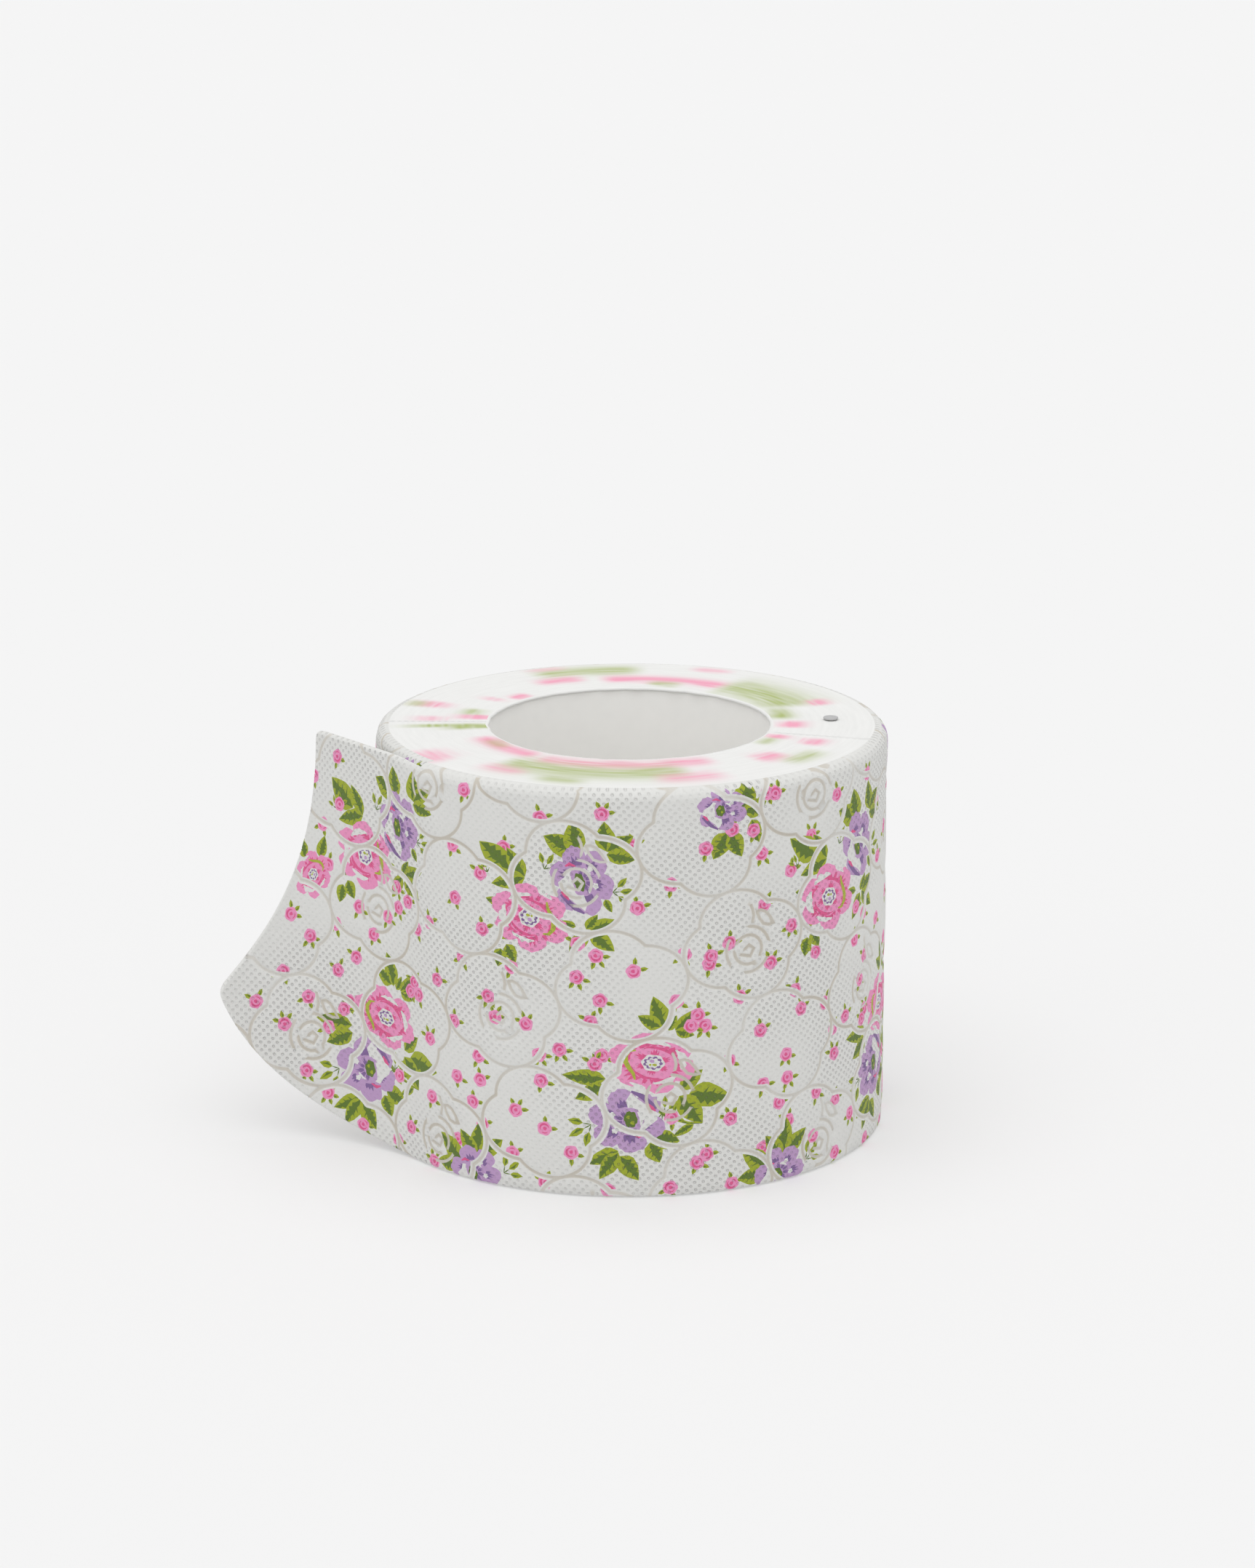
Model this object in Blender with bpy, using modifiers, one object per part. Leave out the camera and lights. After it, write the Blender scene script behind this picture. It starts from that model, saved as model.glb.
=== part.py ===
"""Short roll of quilted fabric on a paper core, standing on end with its free end peeled open.

The fabric is one long strip, wound as a spiral.  Azimuths are measured from the
front (-Y) towards the left (-X), which is the way the strip winds outwards.
Metres, +Z up.  The origin is the centre of the floor area that the object covers.
"""

import math

import bmesh
import bpy
from mathutils import Vector

# ---------------------------------------------------------------- driving sizes
HEIGHT = 0.110               # width of the strip, so the height of the roll
OUTER_RADIUS = 0.0700        # outside of the roll where the free end leaves it
BORE_RADIUS = 0.0381         # inside of the core, a 3 inch tube
CORE_WALL = 0.0015           # paper core wall
CORE_INSET = 0.0005          # core ends lie this far inside the strip's edges
STRIP_THICKNESS = 0.0020     # quilted fabric
GAP = 0.0003                 # clearance between pieces that touch
TAPE_THICKNESS = 0.0003      # adhesive tape that starts the winding on the core
TAPE_ARC = math.radians(32)
TAPE_HEIGHT = 0.080

LEAVE_AZIMUTH = math.radians(52)   # where the free end leaves the roll
TOP_EDGE_LENGTH = 0.046      # free end along its top edge
TIP_REACH = 0.066            # free end at its tip, along the cloth
TIP_HEIGHT = 0.039           # tip above the floor
TOP_CURVATURE = 1.0          # outward curl of the top edge, 1/m
FLOOR_CURVATURE = 20.0       # outward curl at floor level, 1/m

PIN_AZIMUTH = math.radians(-93)
PIN_TURN = 6                 # whole turns in from the outside, where the pin stands
PIN_HEAD_RADIUS = 0.0020
PIN_HEAD_THICKNESS = 0.0005
PIN_SHANK_RADIUS = 0.0004
PIN_LENGTH = 0.022
PIN_POINT_LENGTH = 0.002
PIN_CLEARANCE = 0.0003

# ---------------------------------------------------------------- mesh fineness
SEGMENTS_PER_TURN = 40
CORE_SEGMENTS = 80
FREE_END_COLUMNS = 12
FREE_END_ROWS = 12
PIN_SEGMENTS = 16
MERGE_DISTANCE = 0.00001

# ---------------------------------------------------------------- derived sizes
PITCH = STRIP_THICKNESS + GAP
LEAVE_RADIUS = OUTER_RADIUS - STRIP_THICKNESS / 2
CORE_OUTER_RADIUS = BORE_RADIUS + CORE_WALL
TAPE_RADIUS = CORE_OUTER_RADIUS + GAP + TAPE_THICKNESS / 2
FLAT_ALLOWANCE = 0.0001      # facets cut inside their circle by this much
WINDING_INNER_RADIUS = TAPE_RADIUS + TAPE_THICKNESS / 2 + GAP + FLAT_ALLOWANCE
START_RADIUS = WINDING_INNER_RADIUS + STRIP_THICKNESS / 2
TURNS = (LEAVE_RADIUS - START_RADIUS) / PITCH


def polar(radius, azimuth):
    """Plan position at an azimuth, seen from the roll's axis."""
    return Vector((-radius * math.sin(azimuth), -radius * math.cos(azimuth), 0))


def spiral_radius(turns_inwards):
    """Radius of the middle of the strip, so many turns in from the leaving line."""
    return LEAVE_RADIUS - PITCH * turns_inwards


def free_end_point(reach, height):
    """A point of the free end: it leaves along the tangent and curls outwards, more so lower down."""
    curl = TOP_CURVATURE + (FLOOR_CURVATURE - TOP_CURVATURE) * (1 - height / HEIGHT)
    root = polar(LEAVE_RADIUS, LEAVE_AZIMUTH)
    heading = LEAVE_AZIMUTH - curl * reach
    left = (math.sin(LEAVE_AZIMUTH) - math.sin(heading)) / curl
    back = (math.cos(heading) - math.cos(LEAVE_AZIMUTH)) / curl
    return root + Vector((-left, back, height))


def floor_centre():
    """Centre, seen from the roll's axis, of the plan area of roll and free end."""
    spots = [polar(spiral_radius(step / SEGMENTS_PER_TURN) + STRIP_THICKNESS / 2,
                   LEAVE_AZIMUTH - step * 2 * math.pi / SEGMENTS_PER_TURN)
             for step in range(SEGMENTS_PER_TURN)]
    spots.append(free_end_point(TIP_REACH, TIP_HEIGHT))
    xs = [spot.x for spot in spots]
    ys = [spot.y for spot in spots]
    return Vector(((min(xs) + max(xs)) / 2, (min(ys) + max(ys)) / 2, 0))


AXIS = -floor_centre()       # where the roll's axis stands


def clear_scene():
    for item in list(bpy.data.objects):
        bpy.data.objects.remove(item, do_unlink=True)
    for group in list(bpy.data.collections):
        bpy.data.collections.remove(group)


def new_collection(name):
    group = bpy.data.collections.new(name)
    bpy.context.scene.collection.children.link(group)
    return group


def material(name, color, roughness, metallic=0.0):
    finish = bpy.data.materials.new(name)
    finish.use_nodes = True
    shader = finish.node_tree.nodes["Principled BSDF"]
    shader.inputs["Base Color"].default_value = (*color, 1)
    shader.inputs["Roughness"].default_value = roughness
    shader.inputs["Metallic"].default_value = metallic
    return finish


def add_object(name, mesh, group, finish, location):
    item = bpy.data.objects.new(name, mesh)
    item.location = location
    if finish:
        mesh.materials.append(finish)
    group.objects.link(item)
    return item


def mesh_from_bmesh(name, bm):
    mesh = bpy.data.meshes.new(name)
    bmesh.ops.recalc_face_normals(bm, faces=bm.faces)
    bm.to_mesh(mesh)
    bm.free()
    return mesh


def thicken(item, thickness):
    solidify = item.modifiers.new("Thickness", "SOLIDIFY")
    solidify.thickness = thickness
    solidify.offset = 0
    solidify.use_even_offset = True


def standing_sheet(name, plan_points, bottom, top):
    """Open upright sheet over a line of plan points."""
    bm = bmesh.new()
    line = [bm.verts.new((point.x, point.y, bottom)) for point in plan_points]
    edges = [bm.edges.new(pair) for pair in zip(line, line[1:])]
    raised = bmesh.ops.extrude_edge_only(bm, edges=edges)["geom"]
    upper = [part for part in raised if isinstance(part, bmesh.types.BMVert)]
    bmesh.ops.translate(bm, verts=upper, vec=(0, 0, top - bottom))
    return mesh_from_bmesh(name, bm)


def turned(name, profile, group, finish, location, segments):
    """Solid of revolution about Z; the profile runs down its outer side at +X."""
    bm = bmesh.new()
    line = [bm.verts.new((radius, 0, height)) for radius, height in profile]
    for pair in zip(line, line[1:]):
        bm.edges.new(pair)
    mesh = bpy.data.meshes.new(name)
    bm.to_mesh(mesh)
    bm.free()
    item = add_object(name, mesh, group, finish, location)
    screw = item.modifiers.new("Turn", "SCREW")
    screw.axis = "Z"
    screw.steps = segments
    screw.render_steps = segments
    screw.use_merge_vertices = True
    screw.merge_threshold = MERGE_DISTANCE
    return item


def build_core(group):
    """Paper tube that carries the winding."""
    low = CORE_INSET
    high = HEIGHT - CORE_INSET
    profile = [(CORE_OUTER_RADIUS, high), (CORE_OUTER_RADIUS, low),
               (BORE_RADIUS, low), (BORE_RADIUS, high), (CORE_OUTER_RADIUS, high)]
    paper = material("core_paper", (0.86, 0.86, 0.84), 0.8)
    return turned("core_tube", profile, group, paper, AXIS, CORE_SEGMENTS)


def build_winding(group, fabric):
    """The wound strip, from its start on the core to the line where the free end leaves."""
    count = math.ceil(TURNS * SEGMENTS_PER_TURN)
    points = []
    for step in range(count, -1, -1):
        inwards = min(step / SEGMENTS_PER_TURN, TURNS)
        points.append(polar(spiral_radius(inwards), LEAVE_AZIMUTH - inwards * 2 * math.pi))
    mesh = standing_sheet("wound_fabric", points, 0, HEIGHT)
    item = add_object("wound_fabric", mesh, group, fabric, AXIS)
    thicken(item, STRIP_THICKNESS)
    return item


def build_start_tape(group):
    """Strip of tape between the core and the first turn, under the start of the winding."""
    middle = LEAVE_AZIMUTH - TURNS * 2 * math.pi
    steps = round(SEGMENTS_PER_TURN * TAPE_ARC / (2 * math.pi)) * 2
    points = [polar(TAPE_RADIUS, middle + TAPE_ARC * (step / steps - 0.5)) for step in range(steps + 1)]
    low = (HEIGHT - TAPE_HEIGHT) / 2
    mesh = standing_sheet("start_tape", points, low, low + TAPE_HEIGHT)
    finish = material("tape", (0.62, 0.58, 0.42), 0.5)
    item = add_object("start_tape", mesh, group, finish, AXIS)
    thicken(item, TAPE_THICKNESS)
    return item


def bezier(points, share):
    """Point of a cubic Bezier curve given by four (reach, height) points."""
    rest = 1 - share
    weights = (rest ** 3, 3 * rest ** 2 * share, 3 * rest * share ** 2, share ** 3)
    return Vector(tuple(sum(w * p[axis] for w, p in zip(weights, points)) for axis in (0, 1)))


def free_end_cut(across, up):
    """Flat place (reach, height) in the cut shape of the free end, blended from its four edges."""
    tip = (TIP_REACH, TIP_HEIGHT)
    corner = (TOP_EDGE_LENGTH, HEIGHT)
    lower_edge = [(0, 0), (TIP_REACH / 3, 0), (TIP_REACH * 0.79, TIP_HEIGHT / 3), tip]
    end_edge = [tip, (TOP_EDGE_LENGTH * 1.02, TIP_HEIGHT * 1.6),
                (TOP_EDGE_LENGTH * 0.89, HEIGHT * 0.8), corner]
    lower = bezier(lower_edge, across)
    upper = Vector((TOP_EDGE_LENGTH * across, HEIGHT))
    root = Vector((0, HEIGHT * up))
    end = bezier(end_edge, up)
    corners = (Vector((0, 0)) * (1 - across) * (1 - up) + Vector(tip) * across * (1 - up)
               + Vector((0, HEIGHT)) * (1 - across) * up + Vector(corner) * across * up)
    return lower * (1 - up) + upper * up + root * (1 - across) + end * across - corners


def build_free_end(group, fabric):
    """Free end of the strip; it swings about the outer face of the strip at the leaving line."""
    hinge = bpy.data.objects.new("free_end_pivot", None)
    pivot = AXIS + polar(OUTER_RADIUS, LEAVE_AZIMUTH)
    hinge.location = pivot
    group.objects.link(hinge)

    bm = bmesh.new()
    bmesh.ops.create_grid(bm, x_segments=FREE_END_COLUMNS, y_segments=FREE_END_ROWS, size=1)
    for vert in bm.verts:
        flat = free_end_cut((vert.co.x + 1) / 2, (vert.co.y + 1) / 2)
        reach = flat.x + GAP
        vert.co = AXIS + free_end_point(reach, flat.y) - pivot
    item = add_object("free_end", mesh_from_bmesh("free_end", bm), group, fabric, (0, 0, 0))
    item.parent = hinge
    thicken(item, STRIP_THICKNESS)
    return item


def build_end_pin(group, cutters, winding):
    """Flat-headed pin pushed down into the middle of one turn."""
    inwards = PIN_TURN + (LEAVE_AZIMUTH - PIN_AZIMUTH) / (2 * math.pi)
    foot = AXIS + polar(spiral_radius(inwards), PIN_AZIMUTH)
    under_head = HEIGHT + GAP
    point = under_head - PIN_LENGTH
    profile = [(0, under_head + PIN_HEAD_THICKNESS), (PIN_HEAD_RADIUS, under_head + PIN_HEAD_THICKNESS),
               (PIN_HEAD_RADIUS, under_head), (PIN_SHANK_RADIUS, under_head),
               (PIN_SHANK_RADIUS, point + PIN_POINT_LENGTH), (0, point)]
    steel = material("pin_steel", (0.55, 0.55, 0.56), 0.35, 1.0)
    turned("end_pin", profile, group, steel, foot, PIN_SEGMENTS)

    bm = bmesh.new()
    depth = PIN_LENGTH + PIN_CLEARANCE
    radius = PIN_SHANK_RADIUS + PIN_CLEARANCE
    bmesh.ops.create_cone(bm, cap_ends=True, segments=PIN_SEGMENTS, radius1=radius,
                          radius2=radius, depth=depth)
    mesh = bpy.data.meshes.new("pin_hole")
    bm.to_mesh(mesh)
    bm.free()
    above = PIN_CLEARANCE
    centre = foot + Vector((0, 0, HEIGHT + above - depth / 2))
    cutter = add_object("pin_hole", mesh, cutters, None, centre)
    cutter.hide_render = True
    cutter.display_type = "WIRE"
    cut = winding.modifiers.new("Pin hole", "BOOLEAN")
    cut.operation = "DIFFERENCE"
    cut.object = cutter


def main():
    clear_scene()
    parts = new_collection("fabric_roll")
    cutters = new_collection("cutters")
    fabric = material("printed_fabric", (0.88, 0.87, 0.86), 0.85)
    build_core(parts)
    winding = build_winding(parts, fabric)
    build_start_tape(parts)
    build_free_end(parts, fabric)
    build_end_pin(parts, cutters, winding)


main()
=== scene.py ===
"""Looks of a short roll of quilted cloth printed with roses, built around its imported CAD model.

Places on the cloth are in millimetres: s runs to the right from the front of the roll, along its
outside, and z runs up from the floor.  Shapes are worked out in millimetres about the roll's axis
and put into the scene in metres.
"""

import math
import random

import bmesh
import bpy
import numpy as np
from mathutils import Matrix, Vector, geometry, kdtree, noise


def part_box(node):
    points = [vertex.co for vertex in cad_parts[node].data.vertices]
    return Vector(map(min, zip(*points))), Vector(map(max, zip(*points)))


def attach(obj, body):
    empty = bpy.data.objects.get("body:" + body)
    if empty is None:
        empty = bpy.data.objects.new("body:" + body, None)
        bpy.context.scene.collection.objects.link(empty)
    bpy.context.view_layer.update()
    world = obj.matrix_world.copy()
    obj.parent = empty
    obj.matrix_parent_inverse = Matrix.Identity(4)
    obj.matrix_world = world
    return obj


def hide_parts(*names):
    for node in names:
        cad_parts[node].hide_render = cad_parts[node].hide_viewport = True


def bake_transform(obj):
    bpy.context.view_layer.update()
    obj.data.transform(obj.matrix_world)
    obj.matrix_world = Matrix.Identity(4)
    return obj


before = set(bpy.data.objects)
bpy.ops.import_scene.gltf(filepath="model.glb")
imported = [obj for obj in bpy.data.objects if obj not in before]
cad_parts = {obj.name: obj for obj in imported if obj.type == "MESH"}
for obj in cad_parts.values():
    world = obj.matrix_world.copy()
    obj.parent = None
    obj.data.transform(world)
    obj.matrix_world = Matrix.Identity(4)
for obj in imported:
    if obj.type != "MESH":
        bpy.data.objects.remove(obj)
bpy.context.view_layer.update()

MM = 0.001

# ------------------------------------------------- sizes that the CAD model has, in millimetres
core_low, core_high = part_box("core_tube")
AXIS = (core_low + core_high) / 2
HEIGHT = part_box("wound_fabric")[1].z / MM
OUTER_RADIUS = 70.0          # outside of the roll where the free end leaves it
PITCH = 2.3                  # how much the spiral grows in a turn
THICKNESS = 2.0              # of the cloth
BORE_RADIUS = 38.1
CORE_OUTER_RADIUS = 39.6
INNER_RADIUS = 40.35         # inside of the winding
LEAVE_AZIMUTH = math.radians(52)
TOP_EDGE_LENGTH = 46.0
TIP_REACH = 66.0
TIP_HEIGHT = 39.0
TOP_CURL = 0.001             # outward curl of the free end's top edge, 1/mm
FLOOR_CURL = 0.020           # outward curl at floor level, 1/mm
OUTLINE_STEPS = 80           # in each of the free end's two curves
TOP_STEPS = 50               # along its top edge
SMOOTHINGS = 7               # times its outline is evened out
LOWER_HANDLES = ((1 / 3, 0), (0.79, 1 / 3))   # of the lower cut edge's curve, shares of the tip's place
END_HANDLES = ((1.02, 1.6), (0.89, 0.8))      # of the end's curve; shares of TOP_EDGE_LENGTH, then of
                                              # TIP_HEIGHT in the first and of HEIGHT in the second

# ------------------------------------------------------------- sizes that only the looks have
CLOTH_RADIUS = 68.5          # turns a distance along the cloth into an azimuth
S_LEAVE = -LEAVE_AZIMUTH * CLOTH_RADIUS
S_END = S_LEAVE + 2 * math.pi * CLOTH_RADIUS
TURN_LENGTH = S_END - S_LEAVE
RIM_RADIUS = 3.2             # rounding of the roll's top rim
EDGE_RADIUS = THICKNESS / 2  # rounding of the free end's edges and of the roll's lower rim
RIM_FADE = 14.0              # length over which the free end's top edge takes its own rounding
CALM_REACH = 4.0             # the quilting's relief fades out over this length towards an edge
ROOT_REACH = 3.0             # the same, from the free end's own relief to the roll's
SEAM_REACH = 2.0             # the same, for its shading
EDGE_ROWS = (0.13, 0.32, 0.6, 1.0)            # insets of the extra points along the free end's edge
TOUCH = 1e-3                 # places closer than this to an edge lie on it
MERGE = 0.004                # corners closer than this become one
GROOVE_DEPTH = 0.40
GROOVE_WIDTH = 0.50          # from the middle of a quilting groove to its wall
GROOVE_BAND = 0.92           # from its middle to where the print begins
FINE_BAND = 0.36             # the same, along the quilted roses
FINE_EDGE = 0.64             # where the painted shade of those grooves ends
GROOVE_SAMPLE = 0.3          # spacing of the places that stand for a groove's middle
GROOVE_ENDS = (0.3, 0.25)    # grooves are cut in from this far above the lower edge to this below the upper
GROOVE_BEYOND = 3.0          # and run on this far past the ends of a patch
PUFF = 0.45                  # how far the cloth swells between grooves
PUFF_REACH = 5.0
CREASE = 0.15                # softens the change of slope in the middle of a groove
FRAY_SCALE = 0.8             # the print ends in a ragged line just under the top edge
FRAY_DEPTH = 0.9
FRAY_WANDER = 0.8
STEP = 3.0                   # spacing of the plain surface's points
RIM_STEP = 1.3               # the same, on the rounded rims
FINE_STEP = 2.4              # the same, on the free end
OUTLINE_STEP = 1.5           # the same, along the roll's rims
PRINT_REPEAT = 84.0
LEAF_GROWTH = 1.22           # leaves are printed this much larger than their plan

COLORS = {                   # sRGB
    "white": (229, 229, 226), "pink": (240, 154, 197), "rose": (226, 98, 148),
    "lilac": (194, 160, 202), "violet": (136, 108, 158), "leaf": (164, 176, 56),
    "moss": (101, 124, 56), "olive": (176, 184, 72),
}
PRINTED, CUT = 0, 1          # material slots of the cloth


def linear(color):
    """Scene-linear colour from an sRGB one."""
    return tuple((c / 255 / 12.92) if c / 255 <= 0.04045 else ((c / 255 + 0.055) / 1.055) ** 2.4
                 for c in color)


WHITE = linear(COLORS["white"])


# ======================================================================== drawing the print
def spot(radius, angle):
    """Place at a distance and an angle from the origin."""
    return radius * math.cos(angle), radius * math.sin(angle)


def sideways(line):
    """Each place of a line, with the direction to the line's left there."""
    for index, (x, y) in enumerate(line):
        before, after = line[max(index - 1, 0)], line[min(index + 1, len(line) - 1)]
        dx, dy = after[0] - before[0], after[1] - before[1]
        length = math.hypot(dx, dy) or 1.0
        yield x, y, -dy / length, dx / length


def placed(points, x, y, turn=0.0, wide=1.0, tall=1.0):
    """Points scaled, turned (degrees) and put in place."""
    c, s = spot(1.0, math.radians(turn))
    return [(x + px * wide * c - py * tall * s, y + px * wide * s + py * tall * c) for px, py in points]


def moved(shapes, *how):
    """Coloured shapes, placed together."""
    return [(color, placed(points, *how)) for color, points in shapes]


def wavy(x, y, wide, tall, lobes=5, depth=0.06, turn=0.0, steps=24):
    """Round patch with a wavy edge."""
    points = []
    for step in range(steps):
        angle = 2 * math.pi * step / steps
        size = 1 + depth * math.cos(lobes * angle + turn)
        points.append((x + wide * size * math.cos(angle), y + tall * size * math.sin(angle)))
    return points


def petals(size, count, notch, turn, rng, steps=66):
    """Ring of petals about the origin: a round patch with sharp notches."""
    points = []
    for step in range(steps):
        angle = 2 * math.pi * step / steps
        lobe = abs(math.sin(count * (angle - turn) / 2)) ** 0.45
        points.append(spot(size * (1 - notch * (1 - lobe)) * (1 + rng.uniform(-0.045, 0.035)), angle))
    return points


def flame(base, reach, heading, spread, spikes, rng):
    """Jagged fan about the origin: the dark shading that spreads from the root of a petal."""
    points = []
    for step in range(2 * spikes + 1):
        share = step / (2 * spikes)
        crown = 1 - 0.5 * abs(2 * share - 1)
        tooth = rng.uniform(0.75, 1.0) if step % 2 else rng.uniform(0.35, 0.55)
        points.append(spot(base + (reach - base) * crown * tooth, heading + spread * (share - 0.5)))
    return points + [spot(base, heading + spread * (share - 0.5)) for share in (1, 0.5, 0)]


def strip(radius, thickness, start, end, rng=None, steps=8):
    """Strip along an arc about the origin, angles in degrees; torn at its edges if rng is given."""
    blunt = 0.08 if rng else 0.06
    outer, inner = [], []
    for step in range(steps + 1):
        share = step / steps
        angle = math.radians(start + (end - start) * share)
        half = thickness / 2 * math.sin(math.pi * (blunt + (1 - 2 * blunt) * share))
        outer.append(spot(radius + half * (rng.uniform(0.5, 1.7) if rng else 1), angle))
        inner.append(spot(radius - half * (rng.uniform(0.7, 1.1) if rng else 1), angle))
    return outer + inner[::-1]


def ribbon(line, width):
    """Band along a line, tapering towards its ends."""
    left, right = [], []
    for index, (x, y, side_x, side_y) in enumerate(sideways(line)):
        half = width / 2 * (0.35 + 0.65 * math.sin(math.pi * index / (len(line) - 1)))
        left.append((x + side_x * half, y + side_y * half))
        right.append((x - side_x * half, y - side_y * half))
    return left + right[::-1]


def pink_rose(x, y, turn, wide, tall, rng):
    """Open rose seen from the front: ragged outer petals, an inner disk and a ringed eye."""
    shapes = [("pink", petals(1.06, 6, 0.34, 0.3, rng))]
    for petal in range(6):
        middle = 0.3 + math.pi / 3 * (petal + 0.5)
        shapes.append(("rose", flame(0.50, rng.uniform(0.86, 0.98), middle, rng.uniform(0.5, 0.85), 4, rng)))
        shapes.append(("rose", flame(0.60, 0.88, middle - 0.5, 0.16, 2, rng)))
    for tear in ((0.70, 0.17, 96, 150), (0.70, 0.20, 168, 226), (0.70, 0.15, 240, 292), (0.88, 0.12, 58, 84)):
        shapes.append(("white", strip(*tear, rng)))
    shapes.append(("pink", petals(0.60, 7, 0.14, 0.8, rng, 54)))
    for petal in range(6):
        shapes.append(("rose", flame(0.24, rng.uniform(0.44, 0.58), math.pi * petal / 3 + 0.5, 0.62, 4, rng)))
    shapes += [("rose", strip(0.53, 0.10, 196, 300, rng)),
               ("rose", strip(0.54, 0.10, 20, 110, rng)),
               ("white", wavy(0, 0, 0.27, 0.29, 6, 0.06)),
               ("violet", petals(0.235, 9, 0.22, 0, rng, 27)),
               ("white", petals(0.18, 8, 0.22, 0, rng, 24)),
               ("lilac", wavy(0.03, -0.06, 0.06, 0.06, 3, 0.1, 0, 8)),
               ("olive", wavy(-0.04, 0.06, 0.06, 0.045, 3, 0.1, 0, 7)),
               ("olive", wavy(0.06, 0.07, 0.03, 0.04, 3, 0.1, 0, 7))]
    stem = [(0.36, 0.64), (0.42, 0.44), (0.54, 0.26), (0.64, 0.06), (0.66, -0.14), (0.58, -0.32),
            (0.44, -0.36)]
    shapes.append(("olive", ribbon(stem, 0.13)))
    return moved(shapes, x, y, turn, wide, tall)


def purple_rose(x, y, turn, wide, tall, rng):
    """Rose with a bare gap at one side, a dark strip beyond it and a green heart."""
    shapes = [("lilac", petals(1.08, 6, 0.32, 0.1, rng))]
    for petal in range(6):
        middle = 0.1 + math.pi / 3 * (petal + 0.5)
        shapes.append(("violet", flame(0.48, rng.uniform(0.76, 0.94), middle, rng.uniform(0.5, 0.8), 4, rng)))
    gap = [(-0.18, 0.34), (-0.40, 0.42), (-0.56, 0.22), (-0.80, 0.06), (-0.84, -0.12), (-0.70, -0.30),
           (-0.52, -0.52), (-0.34, -0.72), (-0.16, -0.92), (-0.02, -0.70), (-0.08, -0.42), (-0.02, -0.10)]
    gap = [(px + rng.uniform(-0.03, 0.03), py + rng.uniform(-0.03, 0.03)) for px, py in gap]
    shapes += [("white", gap),
               ("violet", ribbon([(-0.84, -0.30), (-0.66, -0.52), (-0.46, -0.78), (-0.20, -0.98)], 0.17)),
               ("rose", ribbon([(-0.80, -0.22), (-0.70, -0.34), (-0.60, -0.50)], 0.13)),
               ("rose", ribbon([(-0.44, 0.52), (-0.28, 0.56), (-0.10, 0.46)], 0.12)),
               ("lilac", petals(0.46, 6, 0.16, 0.5, rng, 48))]
    for heading in (-1.25, -0.55, 0.15, 0.8, 1.5):
        shapes.append(("violet", flame(0.14, rng.uniform(0.44, 0.60), heading, 0.56, 4, rng)))
    shapes += [("white", strip(0.34, 0.10, 20, 74, rng)),
               ("white", placed(petals(0.11, 5, 0.3, 0, rng, 15), 0.40, -0.24)),
               ("white", placed(petals(0.10, 5, 0.3, 0, rng, 15), 0.36, 0.30)),
               ("white", strip(0.40, 0.14, 150, 220, rng)),
               ("moss", placed(petals(0.27, 6, 0.22, 0.3, rng, 24), -0.10, -0.04, 0, 0.72, 1.1)),
               ("leaf", wavy(-0.14, 0.08, 0.06, 0.07, 3, 0.2, 0, 8)),
               ("leaf", wavy(-0.04, -0.12, 0.05, 0.06, 3, 0.2, 0, 8))]
    return moved(shapes, x, y, turn, wide, tall)


def leaf(x, y, heading, length, width, rng):
    """Leaf from its root at (x, y): light body, darker ragged half along the midrib and veins."""
    side = rng.choice((-1, 1))
    length, width = length * LEAF_GROWTH, width * LEAF_GROWTH

    def half(share):
        return width / 2 * math.sin(math.pi * share ** 0.72) ** 0.85

    upper, lower, ragged = [], [], []
    for share in (step / 7 for step in range(1, 7)):
        upper.append((length * share, half(share) * rng.uniform(0.94, 1.06)))
        lower.append((length * share, -half(share) * rng.uniform(0.94, 1.06)))
    for step in range(2, 11):
        share = step / 12
        tooth = 0.86 if step % 2 else 0.48
        ragged.append((length * share + length * 0.05, side * half(share) * tooth * rng.uniform(0.85, 1.0)))
    rib = -side * 0.13 * width
    midrib = ((0.97, 0), (0.66, rib * 0.5), (0.5, rib * 1.2), (0.34, rib * 0.6), (0.2, rib))
    shapes = [("leaf", [(0, 0)] + lower + [(length, 0)] + upper[::-1]),
              ("moss", [(length * 0.02, 0)] + ragged + [(length * share, off) for share, off in midrib])]
    for share in (0.28, 0.46, 0.64):
        vein = (length * (share + 0.17), -side * half(share + 0.14) * 0.74)
        shapes.append(("moss", [(length * share, 0), vein, (length * (share + 0.09), 0)]))
    return moved(shapes, x, y, heading)


# Leaf too small for veins, one unit long and wide.
SMALL_LEAF = [("leaf", [(0, 0), (0.3, -0.5), (0.65, -0.42), (1, 0), (0.6, 0.45), (0.25, 0.4)]),
              ("moss", [(0.08, 0), (0.4, -0.36), (0.6, -0.12), (0.9, 0)])]


def rosebud(x, y, rng):
    """Little round rose with two or three leaves at one side."""
    turn = rng.choice((-70, -55, -110, 60, 45, 110))
    shapes = []
    for spread in rng.choice(((-38, 38), (-46, 0, 48), (-30, 34))):
        out_x, out_y = spot(1.5, math.radians(turn + spread))
        shapes += moved(SMALL_LEAF, x + out_x, y + out_y, turn + spread * 1.2, rng.uniform(1.9, 2.5), 1.25)
    curl = rng.uniform(0, 360)
    bloom = [("pink", wavy(0, 0, 1.95, 1.95, 5, 0.07, curl, 15)),
             ("rose", strip(1.22, 0.62, 40, 235, None, 7)),
             ("rose", strip(1.25, 0.34, 260, 345, None, 4)),
             ("rose", wavy(0.1, 0.05, 0.55, 0.5, 3, 0.15, curl, 7))]
    return shapes + moved(bloom, x, y, curl)


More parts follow.
